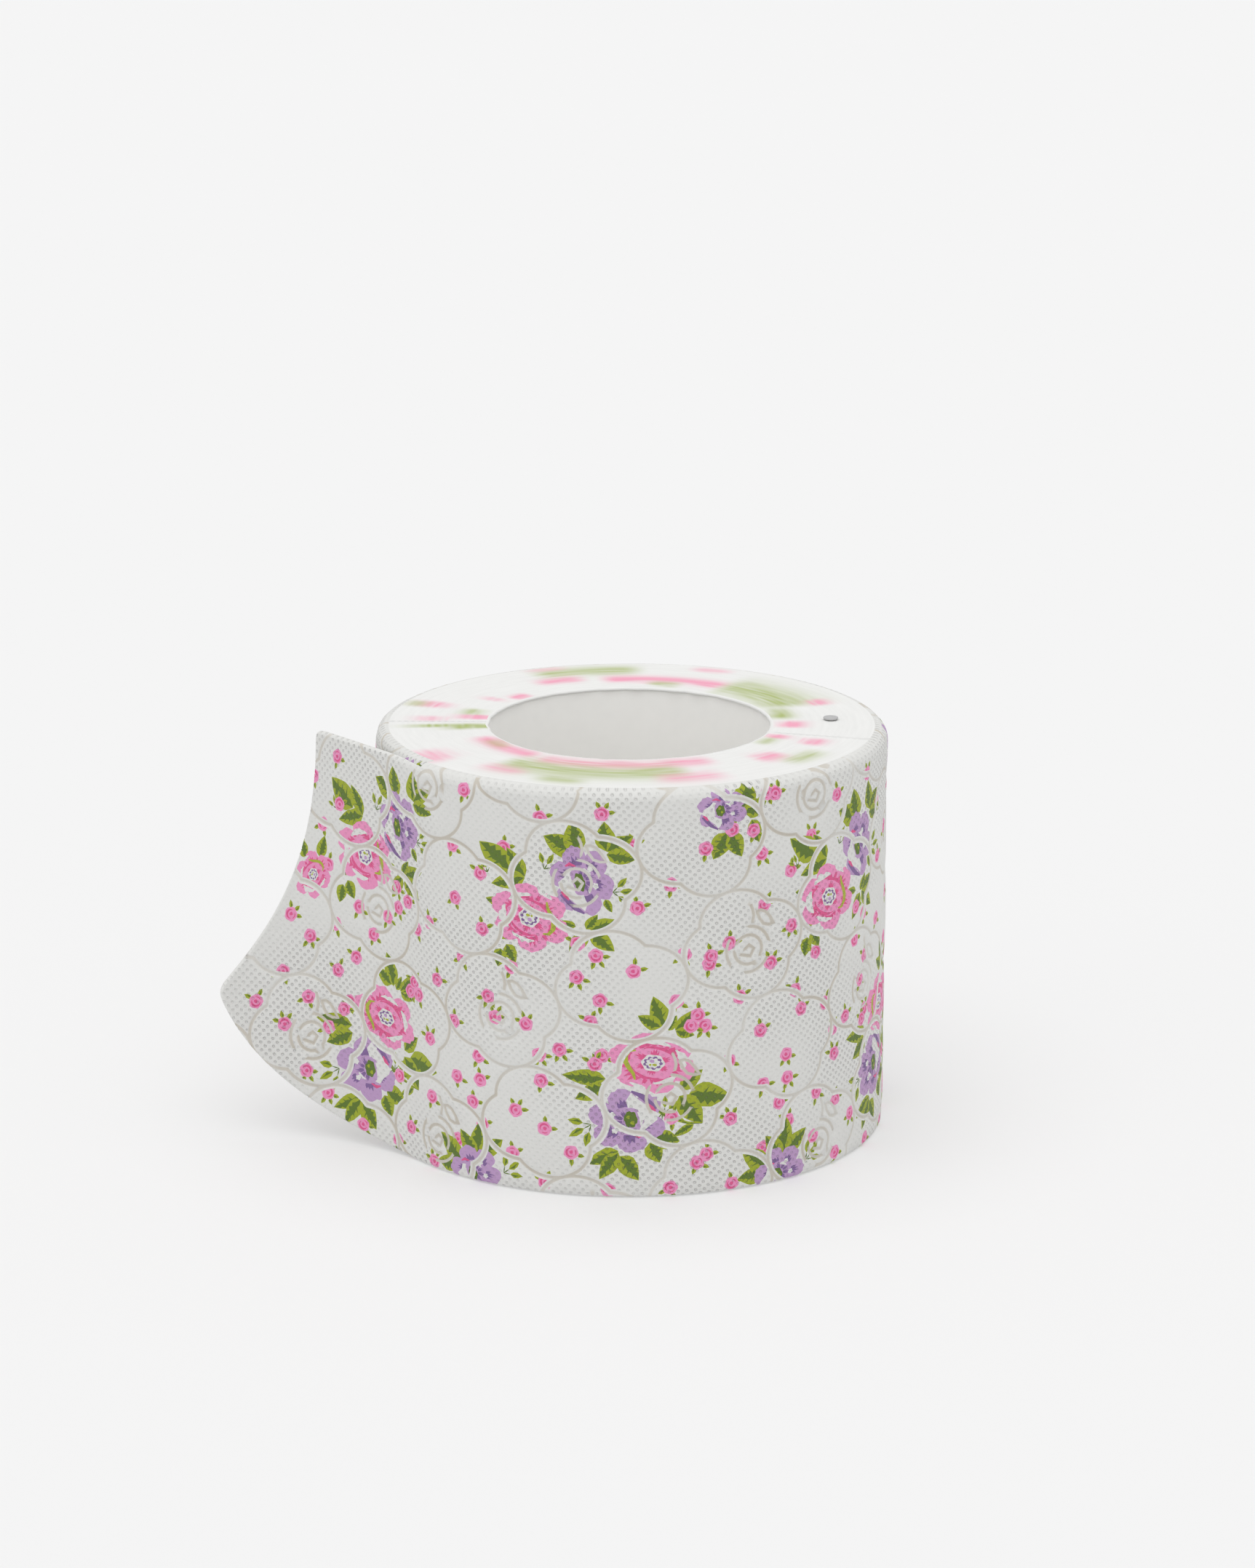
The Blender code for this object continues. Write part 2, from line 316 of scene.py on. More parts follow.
def sprig(x, y, heading, size):
    """Three narrow leaves on short stalks."""
    shapes = []
    for spread, share in ((-42, 0.85), (0, 1.0), (44, 0.9)):
        out_x, out_y = spot(0.35 * size, math.radians(heading + spread))
        tip = (x + out_x, y + out_y)
        shapes.append(("moss", ribbon([(x, y), ((x + tip[0]) / 2, (y + tip[1]) / 2), tip], 0.35)))
        shapes += moved(SMALL_LEAF, *tip, heading + spread, size * share * 0.8, size * 0.34)
    return shapes


# Each leaf is (s, z of its root, heading in degrees, length, width), from the middle of its bouquet.
UPPER_BOUQUET = {
    "leaves": [(-5, 12, 144, 9.3, 5.8), (-1, 10.8, 125, 7.4, 3.4), (-1, 10.6, 196, 8.2, 3.8),
               (12.5, 18.4, 155, 7.7, 5.0), (12.5, 18.4, 99, 6.9, 4.8), (20.2, 19, 94, 6.6, 4.4),
               (20.2, 19, 32, 6.6, 3.6), (20.2, 18.2, -9, 6.4, 3.4), (16, -2, 18, 6.6, 3.4),
               (16, -2.4, -40, 6.7, 3.8), (15, -2.6, -124, 6.4, 3.4), (15, -2, 54, 4.2, 2.2),
               (-8, -9.4, -100, 4.2, 3.2), (-6.4, -8, -60, 4.4, 3.2), (-4.6, -4, 209, 4.8, 2.4),
               (-8, 2.8, 168, 3.6, 1.9), (19.8, 6.2, -62, 3.2, 1.7), (12.4, -1.4, 164, 3.6, 1.7)],
    "sprigs": [(4.2, 13.4, 60, 4.4), (21.8, 8.2, 4, 5.0), (-11.8, 10.6, 110, 3.2)],
    "purple": [(14, 11, 14, 7.6, 8.8)],
    "pink": [(0, 0, -12, 10.4, 8.7)],
    "buds": [(12.8, -6), (-13.5, -5), (17.5, -9)],
}
LOWER_BOUQUET = {
    "leaves": [(3, 9.4, 109, 7.6, 4.2), (2, 9.6, 150, 5.6, 3.2), (4, 8.6, 63, 3.8, 2.0),
               (5.6, 8.6, 45, 6.4, 2.4), (5.8, 8.4, -16, 4.2, 2.4), (-12, -4.4, 177, 9.4, 3.8),
               (-11.8, -6.4, 205, 7.4, 4.0), (7, -7.6, 40, 6.4, 3.4), (9.4, -9, -8, 9.2, 5.6),
               (6.8, -9.4, -52, 8.2, 5.2), (0, -20.6, -10, 5.8, 4.6), (-0.8, -21.9, -65, 5.0, 4.0),
               (-8.8, -24, 205, 7.6, 3.4), (-8.8, -24.4, 237, 7.5, 3.6), (-8.4, -25.4, -55, 6.8, 4.2),
               (10.6, -17.4, 209, 5.2, 1.9), (-13.4, -1, 120, 3.4, 1.6), (-14.2, -0.6, 75, 3.2, 1.6)],
    "stems": [[(-3.5, -9), (-0.5, -11), (2.4, -14), (5.2, -15.6), (9, -16.9), (12.8, -17.2)],
              [(5.4, -15.4), (5.6, -12.8), (6.6, -10.4)]],
    "sprigs": [(-15.8, -17, 212, 6.0), (2.4, -14, -92, 4.6), (3.0, -14, 88, 4.4)],
    "purple": [(-6.6, -15.8, 186, 9.4, 8.2)],
    "pink": [(0, 0, 172, 11.0, 7.9)],
    "buds": [(11.5, 12.4), (13.4, 9.4), (9.8, 9.6), (-13, 2), (-14.8, -0.4), (4.8, -15.2)],
}
RIM_BOUQUET = {
    "leaves": [(4, 0, 70, 6.6, 5.4), (5, -1, 20, 5.6, 4.4), (0, -5.6, -118, 6.4, 4.6),
               (1, -5.8, -64, 6.2, 4.2), (7, -3, -70, 5.6, 3.2)],
    "purple": [(-1, 0.5, 0, 6.6, 5.2)],
    "buds": [(1.5, -5), (7.6, -6), (11.6, 3.4), (-5.6, -9.4)],
}
FLOOR_BOUQUET = {
    "leaves": [(1, 3, 84, 8.6, 4.4), (1.6, 3.6, 38, 7.4, 4.0), (0.4, 3, 128, 6.8, 3.8),
               (-4, 0.6, 140, 8.2, 4.8), (-6, -1, 180, 5.6, 3.8)],
    "sprigs": [(9, 0, 40, 5.2)],
    "purple": [(0, -1.4, 20, 7.6, 6.8)],
}
ROSEBUDS = [
    (-49, 91), (-40, 85), (-23, 102), (-7, 104), (0.5, 95.5), (10.5, 85), (2, 79), (-48, 77), (-58, 68),
    (-63, 65), (-31, 61), (-46, 61), (-13.5, 60), (-55, 53), (-38, 52), (-36, 46.5), (-49, 43),
    (-27, 46), (-58, 36), (-41, 35), (-23.5, 38), (-40.5, 28.5), (-48, 28), (-23, 31), (-57.5, 20),
    (-43, 22), (-40, 16.5), (-30, 22), (-22, 18), (-15, 12), (-31, 10), (-48, 10.5), (-66.5, 9),
    (-57, 2), (-22, 3), (-5.5, 2), (10.5, 2.5), (20, 11), (1, 62), (-7.5, 54), (12, 53.5), (14, 66),
    (-10, 48), (-18, 40), (-33, 93), (20.5, 63), (-45, 106.5),
]
FREE_END_BUDS = [
    (-97, 105), (-95, 92.5), (-101, 86), (-86.5, 66), (-75.5, 65.5), (-81, 59.5), (-71, 69),
    (-109, 60.5), (-94.5, 60), (-102.5, 55.5), (-87, 52), (-93, 47.5), (-110, 45), (-117, 36.5),
    (-102, 39), (-108.5, 31), (-95.5, 31.5), (-101.5, 19), (-95, 13.5), (-84, 6), (-106, 98), (-72, 4),
]
SMALL_BOUQUET = {
    "leaves": [(2, 5, 80, 5, 3), (-3, 4, 120, 5, 3)],
    "pink": [(0, 0, 60, 6.5, 5.5)],
}


def bouquet(plan, s, z, rng):
    """Shapes of one bouquet with its middle at (s, z)."""
    shapes = []
    for line in plan.get("stems", ()):
        shapes.append(("leaf", ribbon([(s + x, z + y) for x, y in line], 1.0)))
        shapes.append(("moss", ribbon([(s + x + 0.1, z + y - 0.16) for x, y in line], 0.35)))
    for x, y, heading, size in plan.get("sprigs", ()):
        shapes += sprig(s + x, z + y, heading, size)
    for name, draw in (("leaves", leaf), ("buds", rosebud), ("purple", purple_rose), ("pink", pink_rose)):
        for x, y, *how in plan.get(name, ()):
            shapes += draw(s + x, z + y, *how, rng)
    return shapes


def print_shapes():
    """The whole print, from the tip of the free end round to the end of the outer turn."""
    rng = random.Random(11)
    shapes = bouquet(UPPER_BOUQUET, -84.5, 80.5, rng)
    shapes += bouquet(SMALL_BOUQUET, -103, 72, rng)
    shapes += bouquet(LOWER_BOUQUET, -76, 37.5, rng)
    for s, z in FREE_END_BUDS:
        shapes += rosebud(s, z, rng)
    for repeat in range(math.ceil(TURN_LENGTH / PRINT_REPEAT) + 1):
        shift = PRINT_REPEAT * repeat
        for s, z in ROSEBUDS:
            shapes += rosebud(s + shift, z, rng)
        for plan, s, z in ((RIM_BOUQUET, 25, 103.5), (FLOOR_BOUQUET, -42.5, 4),
                           (UPPER_BOUQUET, -26, 75), (LOWER_BOUQUET, 6, 37)):
            shapes += bouquet(plan, s + shift, z, rng)
    return shapes


# ================================================================================ quilting
LATTICE_ORIGIN = (31.0, 67.0)
LATTICE_U = (33.0, 9.3)
LATTICE_V = (-12.0, 29.0)
LOBE_CENTRE = 0.2            # of each lobe, from the middle of its cell
LOBE_RADIUS = 0.3
CELL_REACH = 25.0            # cells with their middle further than this off the cloth are left out
ROSE_SHIFT = (0.5, -1.5)     # of each quilted rose, from the middle of its cell
STROKE_STEP = 1.2


def arc(radius, start, end, grow=0.0):
    """Points along a round or slowly growing arc about the origin, angles in degrees."""
    steps = max(3, round(abs(math.radians(end - start)) * radius / STROKE_STEP))
    return [spot(radius + grow * step / steps, math.radians(start + (end - start) * step / steps))
            for step in range(steps + 1)]


QUILTED_ROSE = [
    arc(0.9, 160, -150, 1.5), arc(3.9, 150, -30), arc(4.0, 188, 285), arc(6.2, 86, 18), arc(6.2, 214, 150),
    arc(6.2, 330, 262),
    [(0.6, 12.0), (1.2, 10.6), (1.5, 9.0), (1.2, 7.6)],
    [(2.4, 9.9), (3.6, 10.2), (5.0, 9.6), (6.4, 8.0), (7.6, 6.0), (6.0, 5.9), (4.4, 6.4), (3.2, 8.0),
     (2.4, 9.9)],
]


def lobe_reach():
    """Half the angle, in degrees, that a lobe's round outline runs between its two cusps."""
    corner = (LOBE_CENTRE + math.sqrt(2 * LOBE_RADIUS ** 2 - LOBE_CENTRE ** 2)) / 2
    return math.degrees(math.atan2(corner, corner - LOBE_CENTRE))


def on_lattice(place, a, b):
    """Place moved by a and b cells along the two directions of the quilting."""
    return (place[0] + a * LATTICE_U[0] + b * LATTICE_V[0], place[1] + a * LATTICE_U[1] + b * LATTICE_V[1])


def quilt_strokes(low, high):
    """Middle lines of the quilting grooves between two places: cell outlines, and quilted roses."""
    reach = lobe_reach()
    strokes, roses = [], []
    for i in range(-8, 20):
        for j in range(-8, 12):
            x, y = on_lattice(LATTICE_ORIGIN, i, j)
            if not (low - CELL_REACH < x < high + CELL_REACH and -CELL_REACH < y < HEIGHT + CELL_REACH):
                continue
            for lobe in range(4):
                centre_a, centre_b = spot(LOBE_CENTRE, math.pi / 2 * lobe)
                points = []
                for step in range(21):
                    a, b = spot(LOBE_RADIUS, math.radians(90 * lobe + reach * (step / 10 - 1)))
                    points.append(on_lattice((x, y), centre_a + a, centre_b + b))
                strokes.append(points)
            if (i + j) % 2 == 0:
                rose_x, rose_y = x + ROSE_SHIFT[0], y + ROSE_SHIFT[1]
                roses += [[(rose_x + px, rose_y + py) for px, py in line] for line in QUILTED_ROSE]
    return strokes, roses


def beside(line, distance):
    """The line moved sideways."""
    return [(x + side_x * distance, y + side_y * distance) for x, y, side_x, side_y in sideways(line)]


class Grooves:
    """Finds how far a place on the cloth is from the nearest quilting groove."""

    def __init__(self, strokes, roses):
        samples = []
        for line in strokes + roses:
            for (x0, y0), (x1, y1) in zip(line, line[1:]):
                pieces = max(1, round(math.hypot(x1 - x0, y1 - y0) / GROOVE_SAMPLE))
                samples += [(x0 + (x1 - x0) * k / pieces, y0 + (y1 - y0) * k / pieces)
                            for k in range(pieces + 1)]
            if line is strokes[-1]:
                self.first_rose = len(samples)
        self.tree = kdtree.KDTree(len(samples))
        for index, (x, y) in enumerate(samples):
            self.tree.insert((x, y, 0), index)
        self.tree.balance()

    def nearest(self, places):
        """Distance to the nearest groove, the way there, and whether it belongs to a quilted rose."""
        found = [self.tree.find((x, y, 0)) for x, y in places.tolist()]
        distance = np.array([item[2] for item in found])
        way = np.array([tuple(item[0][:2]) for item in found]) - places
        return distance, way, np.array([item[1] >= self.first_rose for item in found])


# ============================================================================ triangulating
def area_of(points):
    """Signed area of a polygon."""
    return sum(x0 * y1 - x1 * y0 for (x0, y0), (x1, y1) in zip(points, points[1:] + points[:1])) / 2


def holds(loop, x, y):
    """Whether a place lies inside a closed loop."""
    inside = False
    for (x0, y0), (x1, y1) in zip(loop, loop[1:] + loop[:1]):
        if (y0 > y) != (y1 > y) and x < x0 + (x1 - x0) * (y - y0) / (y1 - y0):
            inside = not inside
    return inside


def fill(outline, points=(), shapes=(), lines=(), holes=()):
    """Triangles inside an outline, cut along the shapes' and lines' edges.

    Returns the places of the corners, the triangles and the number of the topmost shape in each,
    or -1 where there is none.
    """
    verts, edges, faces = [], [], []

    def add(loop):
        start = len(verts)
        verts.extend(Vector(point) for point in loop)
        return list(range(start, len(verts)))

    for loop in [outline, *holes, *(loop for _, loop in shapes)]:
        faces.append(add(loop if area_of(loop) > 0 else loop[::-1]))
    for line in lines:
        chain = add(line)
        edges.extend(zip(chain, chain[1:]))
    add(points)
    places, _, triangles, _, _, inside = geometry.delaunay_2d_cdt(verts, edges, faces, 1, 1e-4)
    first = 1 + len(holes)
    places = np.array([tuple(place) for place in places])
    wanted = [index for index, owners in enumerate(inside)
              if 0 in owners and not any(0 < owner < first for owner in owners)]
    kept = np.array([tuple(triangles[index]) for index in wanted])
    middles = places[kept].mean(1).tolist()
    boxes = []
    for _, loop in shapes:
        across, up = zip(*loop)
        boxes.append((min(across), max(across), min(up), max(up)))
    stacks = [sorted((owner - first for owner in inside[index] if owner >= first), reverse=True)
              for index in wanted]

    def boxed(shape, x, y):
        x0, x1, y0, y1 = boxes[shape]
        return x0 <= x <= x1 and y0 <= y <= y1

    # Delaunay sometimes gives a shape triangles that lie outside it; the cause is not known.  Every
    # triangle of a shape with one outside its own box is checked, and those outside it are refused.
    unsure = {shape for stack, (x, y) in zip(stacks, middles) for shape in stack if not boxed(shape, x, y)}
    tops = []
    for stack, (x, y) in zip(stacks, middles):
        sound = (shape for shape in stack
                 if shape not in unsure or (boxed(shape, x, y) and holds(shapes[shape][1], x, y)))
        tops.append(next(sound, -1))
    used, kept = np.unique(kept, return_inverse=True)
    return places[used], kept.reshape(-1, 3), np.array(tops)


def boundary(triangles):
    """Loop of corners around a patch of triangles, in order."""
    directed = set()
    for a, b, c in triangles.tolist():
        directed.update(((a, b), (b, c), (c, a)))
    following = {a: b for a, b in directed if (b, a) not in directed}
    start = next(iter(following))
    loop, at = [start], following[start]
    while at != start:
        loop.append(at)
        at = following[at]
    return loop


def side(corners, places, axis, keep):
    """Those corners whose place along one axis passes a test, in order along the other axis."""
    return sorted((k for k in corners if keep(places[k, axis])), key=lambda k: places[k, 1 - axis])


def zipped(left, right, left_at, right_at):
    """Triangles between two chains of corners, whose places along the way are given."""
    triangles, i, j = [], 0, 0
    while i < len(left) - 1 or j < len(right) - 1:
        if j == len(right) - 1 or (i < len(left) - 1 and left_at[i + 1] <= right_at[j + 1]):
            triangles.append((left[i], left[i + 1], right[j]))
            i += 1
        else:
            triangles.append((left[i], right[j + 1], right[j]))
            j += 1
    return triangles


# ============================================================================ making objects
def add_object(name, data):
    """New object in the scene."""
    item = bpy.data.objects.new(name, data)
    bpy.context.scene.collection.objects.link(item)
    return item


def clean(mesh, merge, collapse=0.0):
    """Merges close corners, drops faces thinner than collapse, and turns all faces outwards."""
    bm = bmesh.new()
    bm.from_mesh(mesh)
    bmesh.ops.remove_doubles(bm, verts=bm.verts, dist=merge * MM)
    if collapse:
        bmesh.ops.dissolve_degenerate(bm, edges=bm.edges, dist=collapse * MM)
    bmesh.ops.recalc_face_normals(bm, faces=bm.faces)
    bm.to_mesh(mesh)
    bm.free()
    mesh.shade_smooth()


def vectors(layer):
    """The vectors of a mesh's layer, as rows."""
    values = np.zeros(len(layer) * 3, np.float32)
    layer.foreach_get("vector", values)
    return values.reshape(-1, 3)


class Skin:
    """Collects patches of triangles, with a colour for each corner, into one mesh."""

    def __init__(self):
        self.verts, self.normals, self.cloth, self.faces, self.colors, self.finishes = [], [], [], [], [], []

    def add_points(self, points, cloth=None, normals=None):
        start = len(self.verts)
        self.verts.extend(map(tuple, points))
        self.normals.extend(map(tuple, normals) if normals is not None else [(0, 0, 0)] * len(points))
        self.cloth.extend(map(tuple, cloth) if cloth is not None else [(0, 0, 0)] * len(points))
        return start

    def add_faces(self, triangles, corner_colors, finish, start=0, flip=False):
        for triangle, colors in zip(triangles, corner_colors):
            corners = [start + corner for corner in triangle]
            if flip:
                corners, colors = corners[::-1], colors[::-1]
            self.faces.append(corners)
            self.colors.extend(colors)
            self.finishes.append(finish)

    def add_plain(self, triangles, color=WHITE, start=0, flip=False):
        self.add_faces(triangles, [(color,) * 3] * len(triangles), CUT, start, flip)

    def build(self, name, finishes):
        mesh = bpy.data.meshes.new(name)
        places = [(x * MM + AXIS.x, y * MM + AXIS.y, z * MM) for x, y, z in self.verts]
        mesh.from_pydata(places, [], self.faces)
        for layer, values in (("cloth", self.cloth), ("known_normal", self.normals)):
            attribute = mesh.attributes.new(layer, "FLOAT_VECTOR", "POINT")
            attribute.data.foreach_set("vector", np.array(values, np.float32).ravel())
        color = mesh.attributes.new("print", "FLOAT_COLOR", "CORNER")
        flat = np.ones((len(self.colors), 4), np.float32)
        flat[:, :3] = self.colors
        color.data.foreach_set("color", flat.ravel())
        for finish in finishes:
            mesh.materials.append(finish)
        mesh.polygons.foreach_set("material_index", self.finishes)
        clean(mesh, MERGE, MERGE / 4)
        self.set_normals(mesh)
        return add_object(name, mesh)

    @staticmethod
    def set_normals(mesh):
        """Shading normals: the known ones, and the mesh's own elsewhere."""
        known = vectors(mesh.attributes["known_normal"].data)
        length = np.linalg.norm(known, axis=1, keepdims=True)
        normals = np.where(length > 0.01, known / np.maximum(length, 0.01), vectors(mesh.vertex_normals))
        mesh.normals_split_custom_set_from_vertices([tuple(normal) for normal in normals.tolist()])
        mesh.attributes.remove(mesh.attributes["known_normal"])


# =============================================================================== the surfaces
def polar(radius, azimuth):
    """Place on the plan, for an azimuth counted from the front towards the left."""
    return -radius * np.sin(azimuth), -radius * np.cos(azimuth)


def rounded(depth_inside, radius):
    """How far a rounded edge falls back, at a distance inside the edge."""
    short = np.clip(radius - depth_inside, 0, radius)
    return radius - np.sqrt(radius ** 2 - short ** 2)


def swell(distance):
    """Height of the quilted surface at a distance from the nearest groove, its slope, and the groove."""
    groove = np.exp(-(distance / GROOVE_WIDTH) ** 2)
    height = PUFF * (1 - np.exp(-distance / PUFF_REACH)) - GROOVE_DEPTH * groove
    slope = (PUFF / PUFF_REACH * np.exp(-distance / PUFF_REACH)
             + GROOVE_DEPTH * groove * 2 * distance / GROOVE_WIDTH ** 2)
    return height, slope, groove


def roll_place(s, z, lift=0.0):
    """Points on the outside of the roll."""
    azimuth = -s / CLOTH_RADIUS
    radius = OUTER_RADIUS - PITCH * (s - S_LEAVE) / (S_END - S_LEAVE)
    back = np.maximum(rounded(HEIGHT - z, RIM_RADIUS), rounded(z, EDGE_RADIUS))
    x, y = polar(radius - back + lift, azimuth)
    return np.stack([x, y, z], 1)


def roll_normals(s, z, slope):
    """Outward directions on the roll, leaning with the rims and with the quilting's slope."""
    azimuth = -s / CLOTH_RADIUS
    out_x, out_y = polar(1.0, azimuth)
    out = np.stack([out_x, out_y, 0 * z], 1)
    right = np.stack([-out_y, out_x, 0 * z], 1)
    up = np.array([[0.0, 0.0, 1.0]])
    lean = (np.clip(RIM_RADIUS - (HEIGHT - z), 0, RIM_RADIUS) / RIM_RADIUS
            - np.clip(EDGE_RADIUS - z, 0, EDGE_RADIUS) / EDGE_RADIUS)[:, None]
    level = np.sqrt(1 - lean ** 2)
    along = up * level - out * lean
    return out * level + up * lean - right * slope[:, :1] - along * slope[:, 1:]


def free_end_surface(s, z):
    """Middle of the free end's cloth and its outward direction."""
    reach = S_LEAVE - s
    curl = TOP_CURL + (FLOOR_CURL - TOP_CURL) * (1 - z / HEIGHT)
    heading = LEAVE_AZIMUTH - curl * reach
    root_x, root_y = polar(OUTER_RADIUS - THICKNESS / 2, LEAVE_AZIMUTH)
    x = root_x - (math.sin(LEAVE_AZIMUTH) - np.sin(heading)) / curl
    y = root_y + (np.cos(heading) - math.cos(LEAVE_AZIMUTH)) / curl
    return np.stack([x, y, z], 1), np.stack([-np.sin(heading), -np.cos(heading), 0 * z], 1)


def free_end_rim(reach):
    """Rounding radius of the free end's top edge, and the height where that edge lies."""
    share = np.clip(reach / RIM_FADE, 0, 1)
    radius = RIM_RADIUS + (EDGE_RADIUS - RIM_RADIUS) * share * share * (3 - 2 * share)
    return radius, HEIGHT - radius + np.sqrt(radius ** 2 - (radius - EDGE_RADIUS) ** 2)


def bezier(points, share):
    """Place on a curve with two handles."""
    rest = 1 - share
    weights = (rest ** 3, 3 * rest ** 2 * share, 3 * rest * share ** 2, share ** 3)
    return tuple(sum(w * p[axis] for w, p in zip(weights, points)) for axis in (0, 1))


def free_end_outline():
    """Lower edge and end of the cut free end, as (s, z) from its foot to its top corner."""
    tip = (TIP_REACH, TIP_HEIGHT)
    corner = (TOP_EDGE_LENGTH, HEIGHT)
    lower_edge = [(0, 0), *((TIP_REACH * along, TIP_HEIGHT * up) for along, up in LOWER_HANDLES), tip]
    (along, up), (next_along, next_up) = END_HANDLES
    end_edge = [tip, (TOP_EDGE_LENGTH * along, TIP_HEIGHT * up),
                (TOP_EDGE_LENGTH * next_along, HEIGHT * next_up), corner]
    line = [bezier(lower_edge, k / OUTLINE_STEPS) for k in range(OUTLINE_STEPS)]
    line += [bezier(end_edge, k / OUTLINE_STEPS) for k in range(OUTLINE_STEPS + 1)]
    for k in range(1, TOP_STEPS + 1):
        reach = TOP_EDGE_LENGTH * (1 - k / TOP_STEPS)
        line.append((reach, float(free_end_rim(np.float64(reach))[1])))
    for _ in range(SMOOTHINGS):
        line = [line[0]] + [tuple((a + 2 * b + c) / 4 for a, b, c in zip(*three))
                            for three in zip(line, line[1:], line[2:])] + [line[-1]]
    return [(S_LEAVE - reach, z) for reach, z in line]


def plain_points(low, high, rows, spacing):
    """Staggered rows of points between two places along the cloth, closer together on the rims."""
    points = []
    for index, z in enumerate(rows):
        on_rim = z > HEIGHT - RIM_RADIUS or z < EDGE_RADIUS
        count = round((high - low) / (RIM_STEP if on_rim else spacing))
        shift = 0.5 if index % 2 else 0.0
        points += [(low + (high - low) * (k + shift) / count, z) for k in range(1, count)]
    return points


def mesh_rows():
    """Heights of the rows of points: close together where the rims are round."""
    rows = [EDGE_RADIUS * (1 - math.cos(math.radians(a))) for a in (35, 65)]
    rows += [STEP * k for k in range(1, int((HEIGHT - RIM_RADIUS) / STEP))]
    rows += [HEIGHT - RIM_RADIUS * (1 - math.sin(math.radians(a))) for a in (0, 18, 36, 54, 72)]
    return rows


def unrolled(places):
    """Places whose height is counted along the cloth's surface, over the rounded rims."""
    flat = np.array(places, float)
    z = flat[:, 1]
    upper = np.clip((z - (HEIGHT - RIM_RADIUS)) / RIM_RADIUS, 0, 1)
    lower = np.clip((EDGE_RADIUS - z) / EDGE_RADIUS, 0, 1)
    flat[:, 1] = (z + RIM_RADIUS * (np.arcsin(upper) - upper) - EDGE_RADIUS * (np.arcsin(lower) - lower))
    return flat


def rolled(flat):
    """Back from the heights of unrolled() to upright heights."""
    places = np.array(flat, float)
    along = places[:, 1]
    upper = np.clip((along - (HEIGHT - RIM_RADIUS)) / RIM_RADIUS, 0, math.pi / 2)
    lower = np.clip((EDGE_RADIUS - along) / EDGE_RADIUS, 0, math.pi / 2)
    places[:, 1] = along + RIM_RADIUS * (np.sin(upper) - upper) - EDGE_RADIUS * (np.sin(lower) - lower)
    return places


def groove_lines(strokes, roses):
    """Lines along which the cloth is cut, on both sides of each groove's middle."""
    return [beside(line, distance)
            for lines, far, close in ((strokes, GROOVE_BAND, GROOVE_WIDTH), (roses, FINE_EDGE, FINE_BAND))
            for line in lines for distance in (-far, -close, 0, close, far)]


def trimmed(line, low, high):
    """The pieces of a line that lie on the cloth, a little inside its upper and lower edges."""
    pieces, piece = [], []
    for x, y in line + [(low - 1, 0)]:       # the added place, off the cloth, ends the last piece
        if low <= x <= high and GROOVE_ENDS[0] <= y <= HEIGHT - GROOVE_ENDS[1]:
            piece.append((x, y))
        else:
            if len(piece) > 1:
                pieces.append(piece)
            piece = []
    return pieces


def near(shapes, low, high):
    """Shapes that touch the cloth between two places."""
    kept = []
    for color, loop in shapes:
        across, up = zip(*loop)
        if max(across) > low and min(across) < high and max(up) > 0 and min(up) < HEIGHT:
            kept.append((color, loop))
    return kept


def printed_patch(outline, low, high, shapes, points):
    """Triangles of printed cloth, with the colours of their corners; and for each corner the height
    that the quilting gives it, the slope there along s and z, and how deep in a groove it is."""
    shapes = near(shapes, low, high)
    strokes, roses = quilt_strokes(low, high)
    grooves = Grooves(strokes, roses)
    lines = [piece for line in groove_lines(strokes, roses)
             for piece in trimmed(line, low - GROOVE_BEYOND, high + GROOVE_BEYOND)]
    flat_shapes = [(name, unrolled(loop).tolist()) for name, loop in shapes]
    places, triangles, tops = fill(unrolled(outline).tolist(), unrolled(points).tolist(), flat_shapes,
                                   [unrolled(line).tolist() for line in lines])
    places = rolled(places)
    distance, way, _ = grooves.nearest(places)
    lift, steepness, groove = swell(distance)
    slope = -way * (steepness / (distance + CREASE))[:, None]
    middles = places[triangles].mean(1)
    frayed = np.array([noise.noise(Vector((x * FRAY_SCALE, y * FRAY_SCALE, 5))) for x, y in middles])
    from_groove, _, in_rose = grooves.nearest(middles)
    bare = from_groove < np.where(in_rose, FINE_BAND, GROOVE_BAND)
    bare |= middles[:, 1] > HEIGHT - FRAY_DEPTH + FRAY_WANDER * frayed
    palette = [linear(COLORS[color]) for color, _ in shapes] + [WHITE]
    colors = [(WHITE if blank else palette[top],) * 3 for top, blank in zip(tops, bare)]
    return places, triangles, colors, lift, slope, groove


def near_rim(places):
    """1 on the open cloth, falling to 0 at the upper and lower edges."""
    return np.clip(np.minimum(HEIGHT - places[:, 1], places[:, 1]) / CALM_REACH, 0, 1)


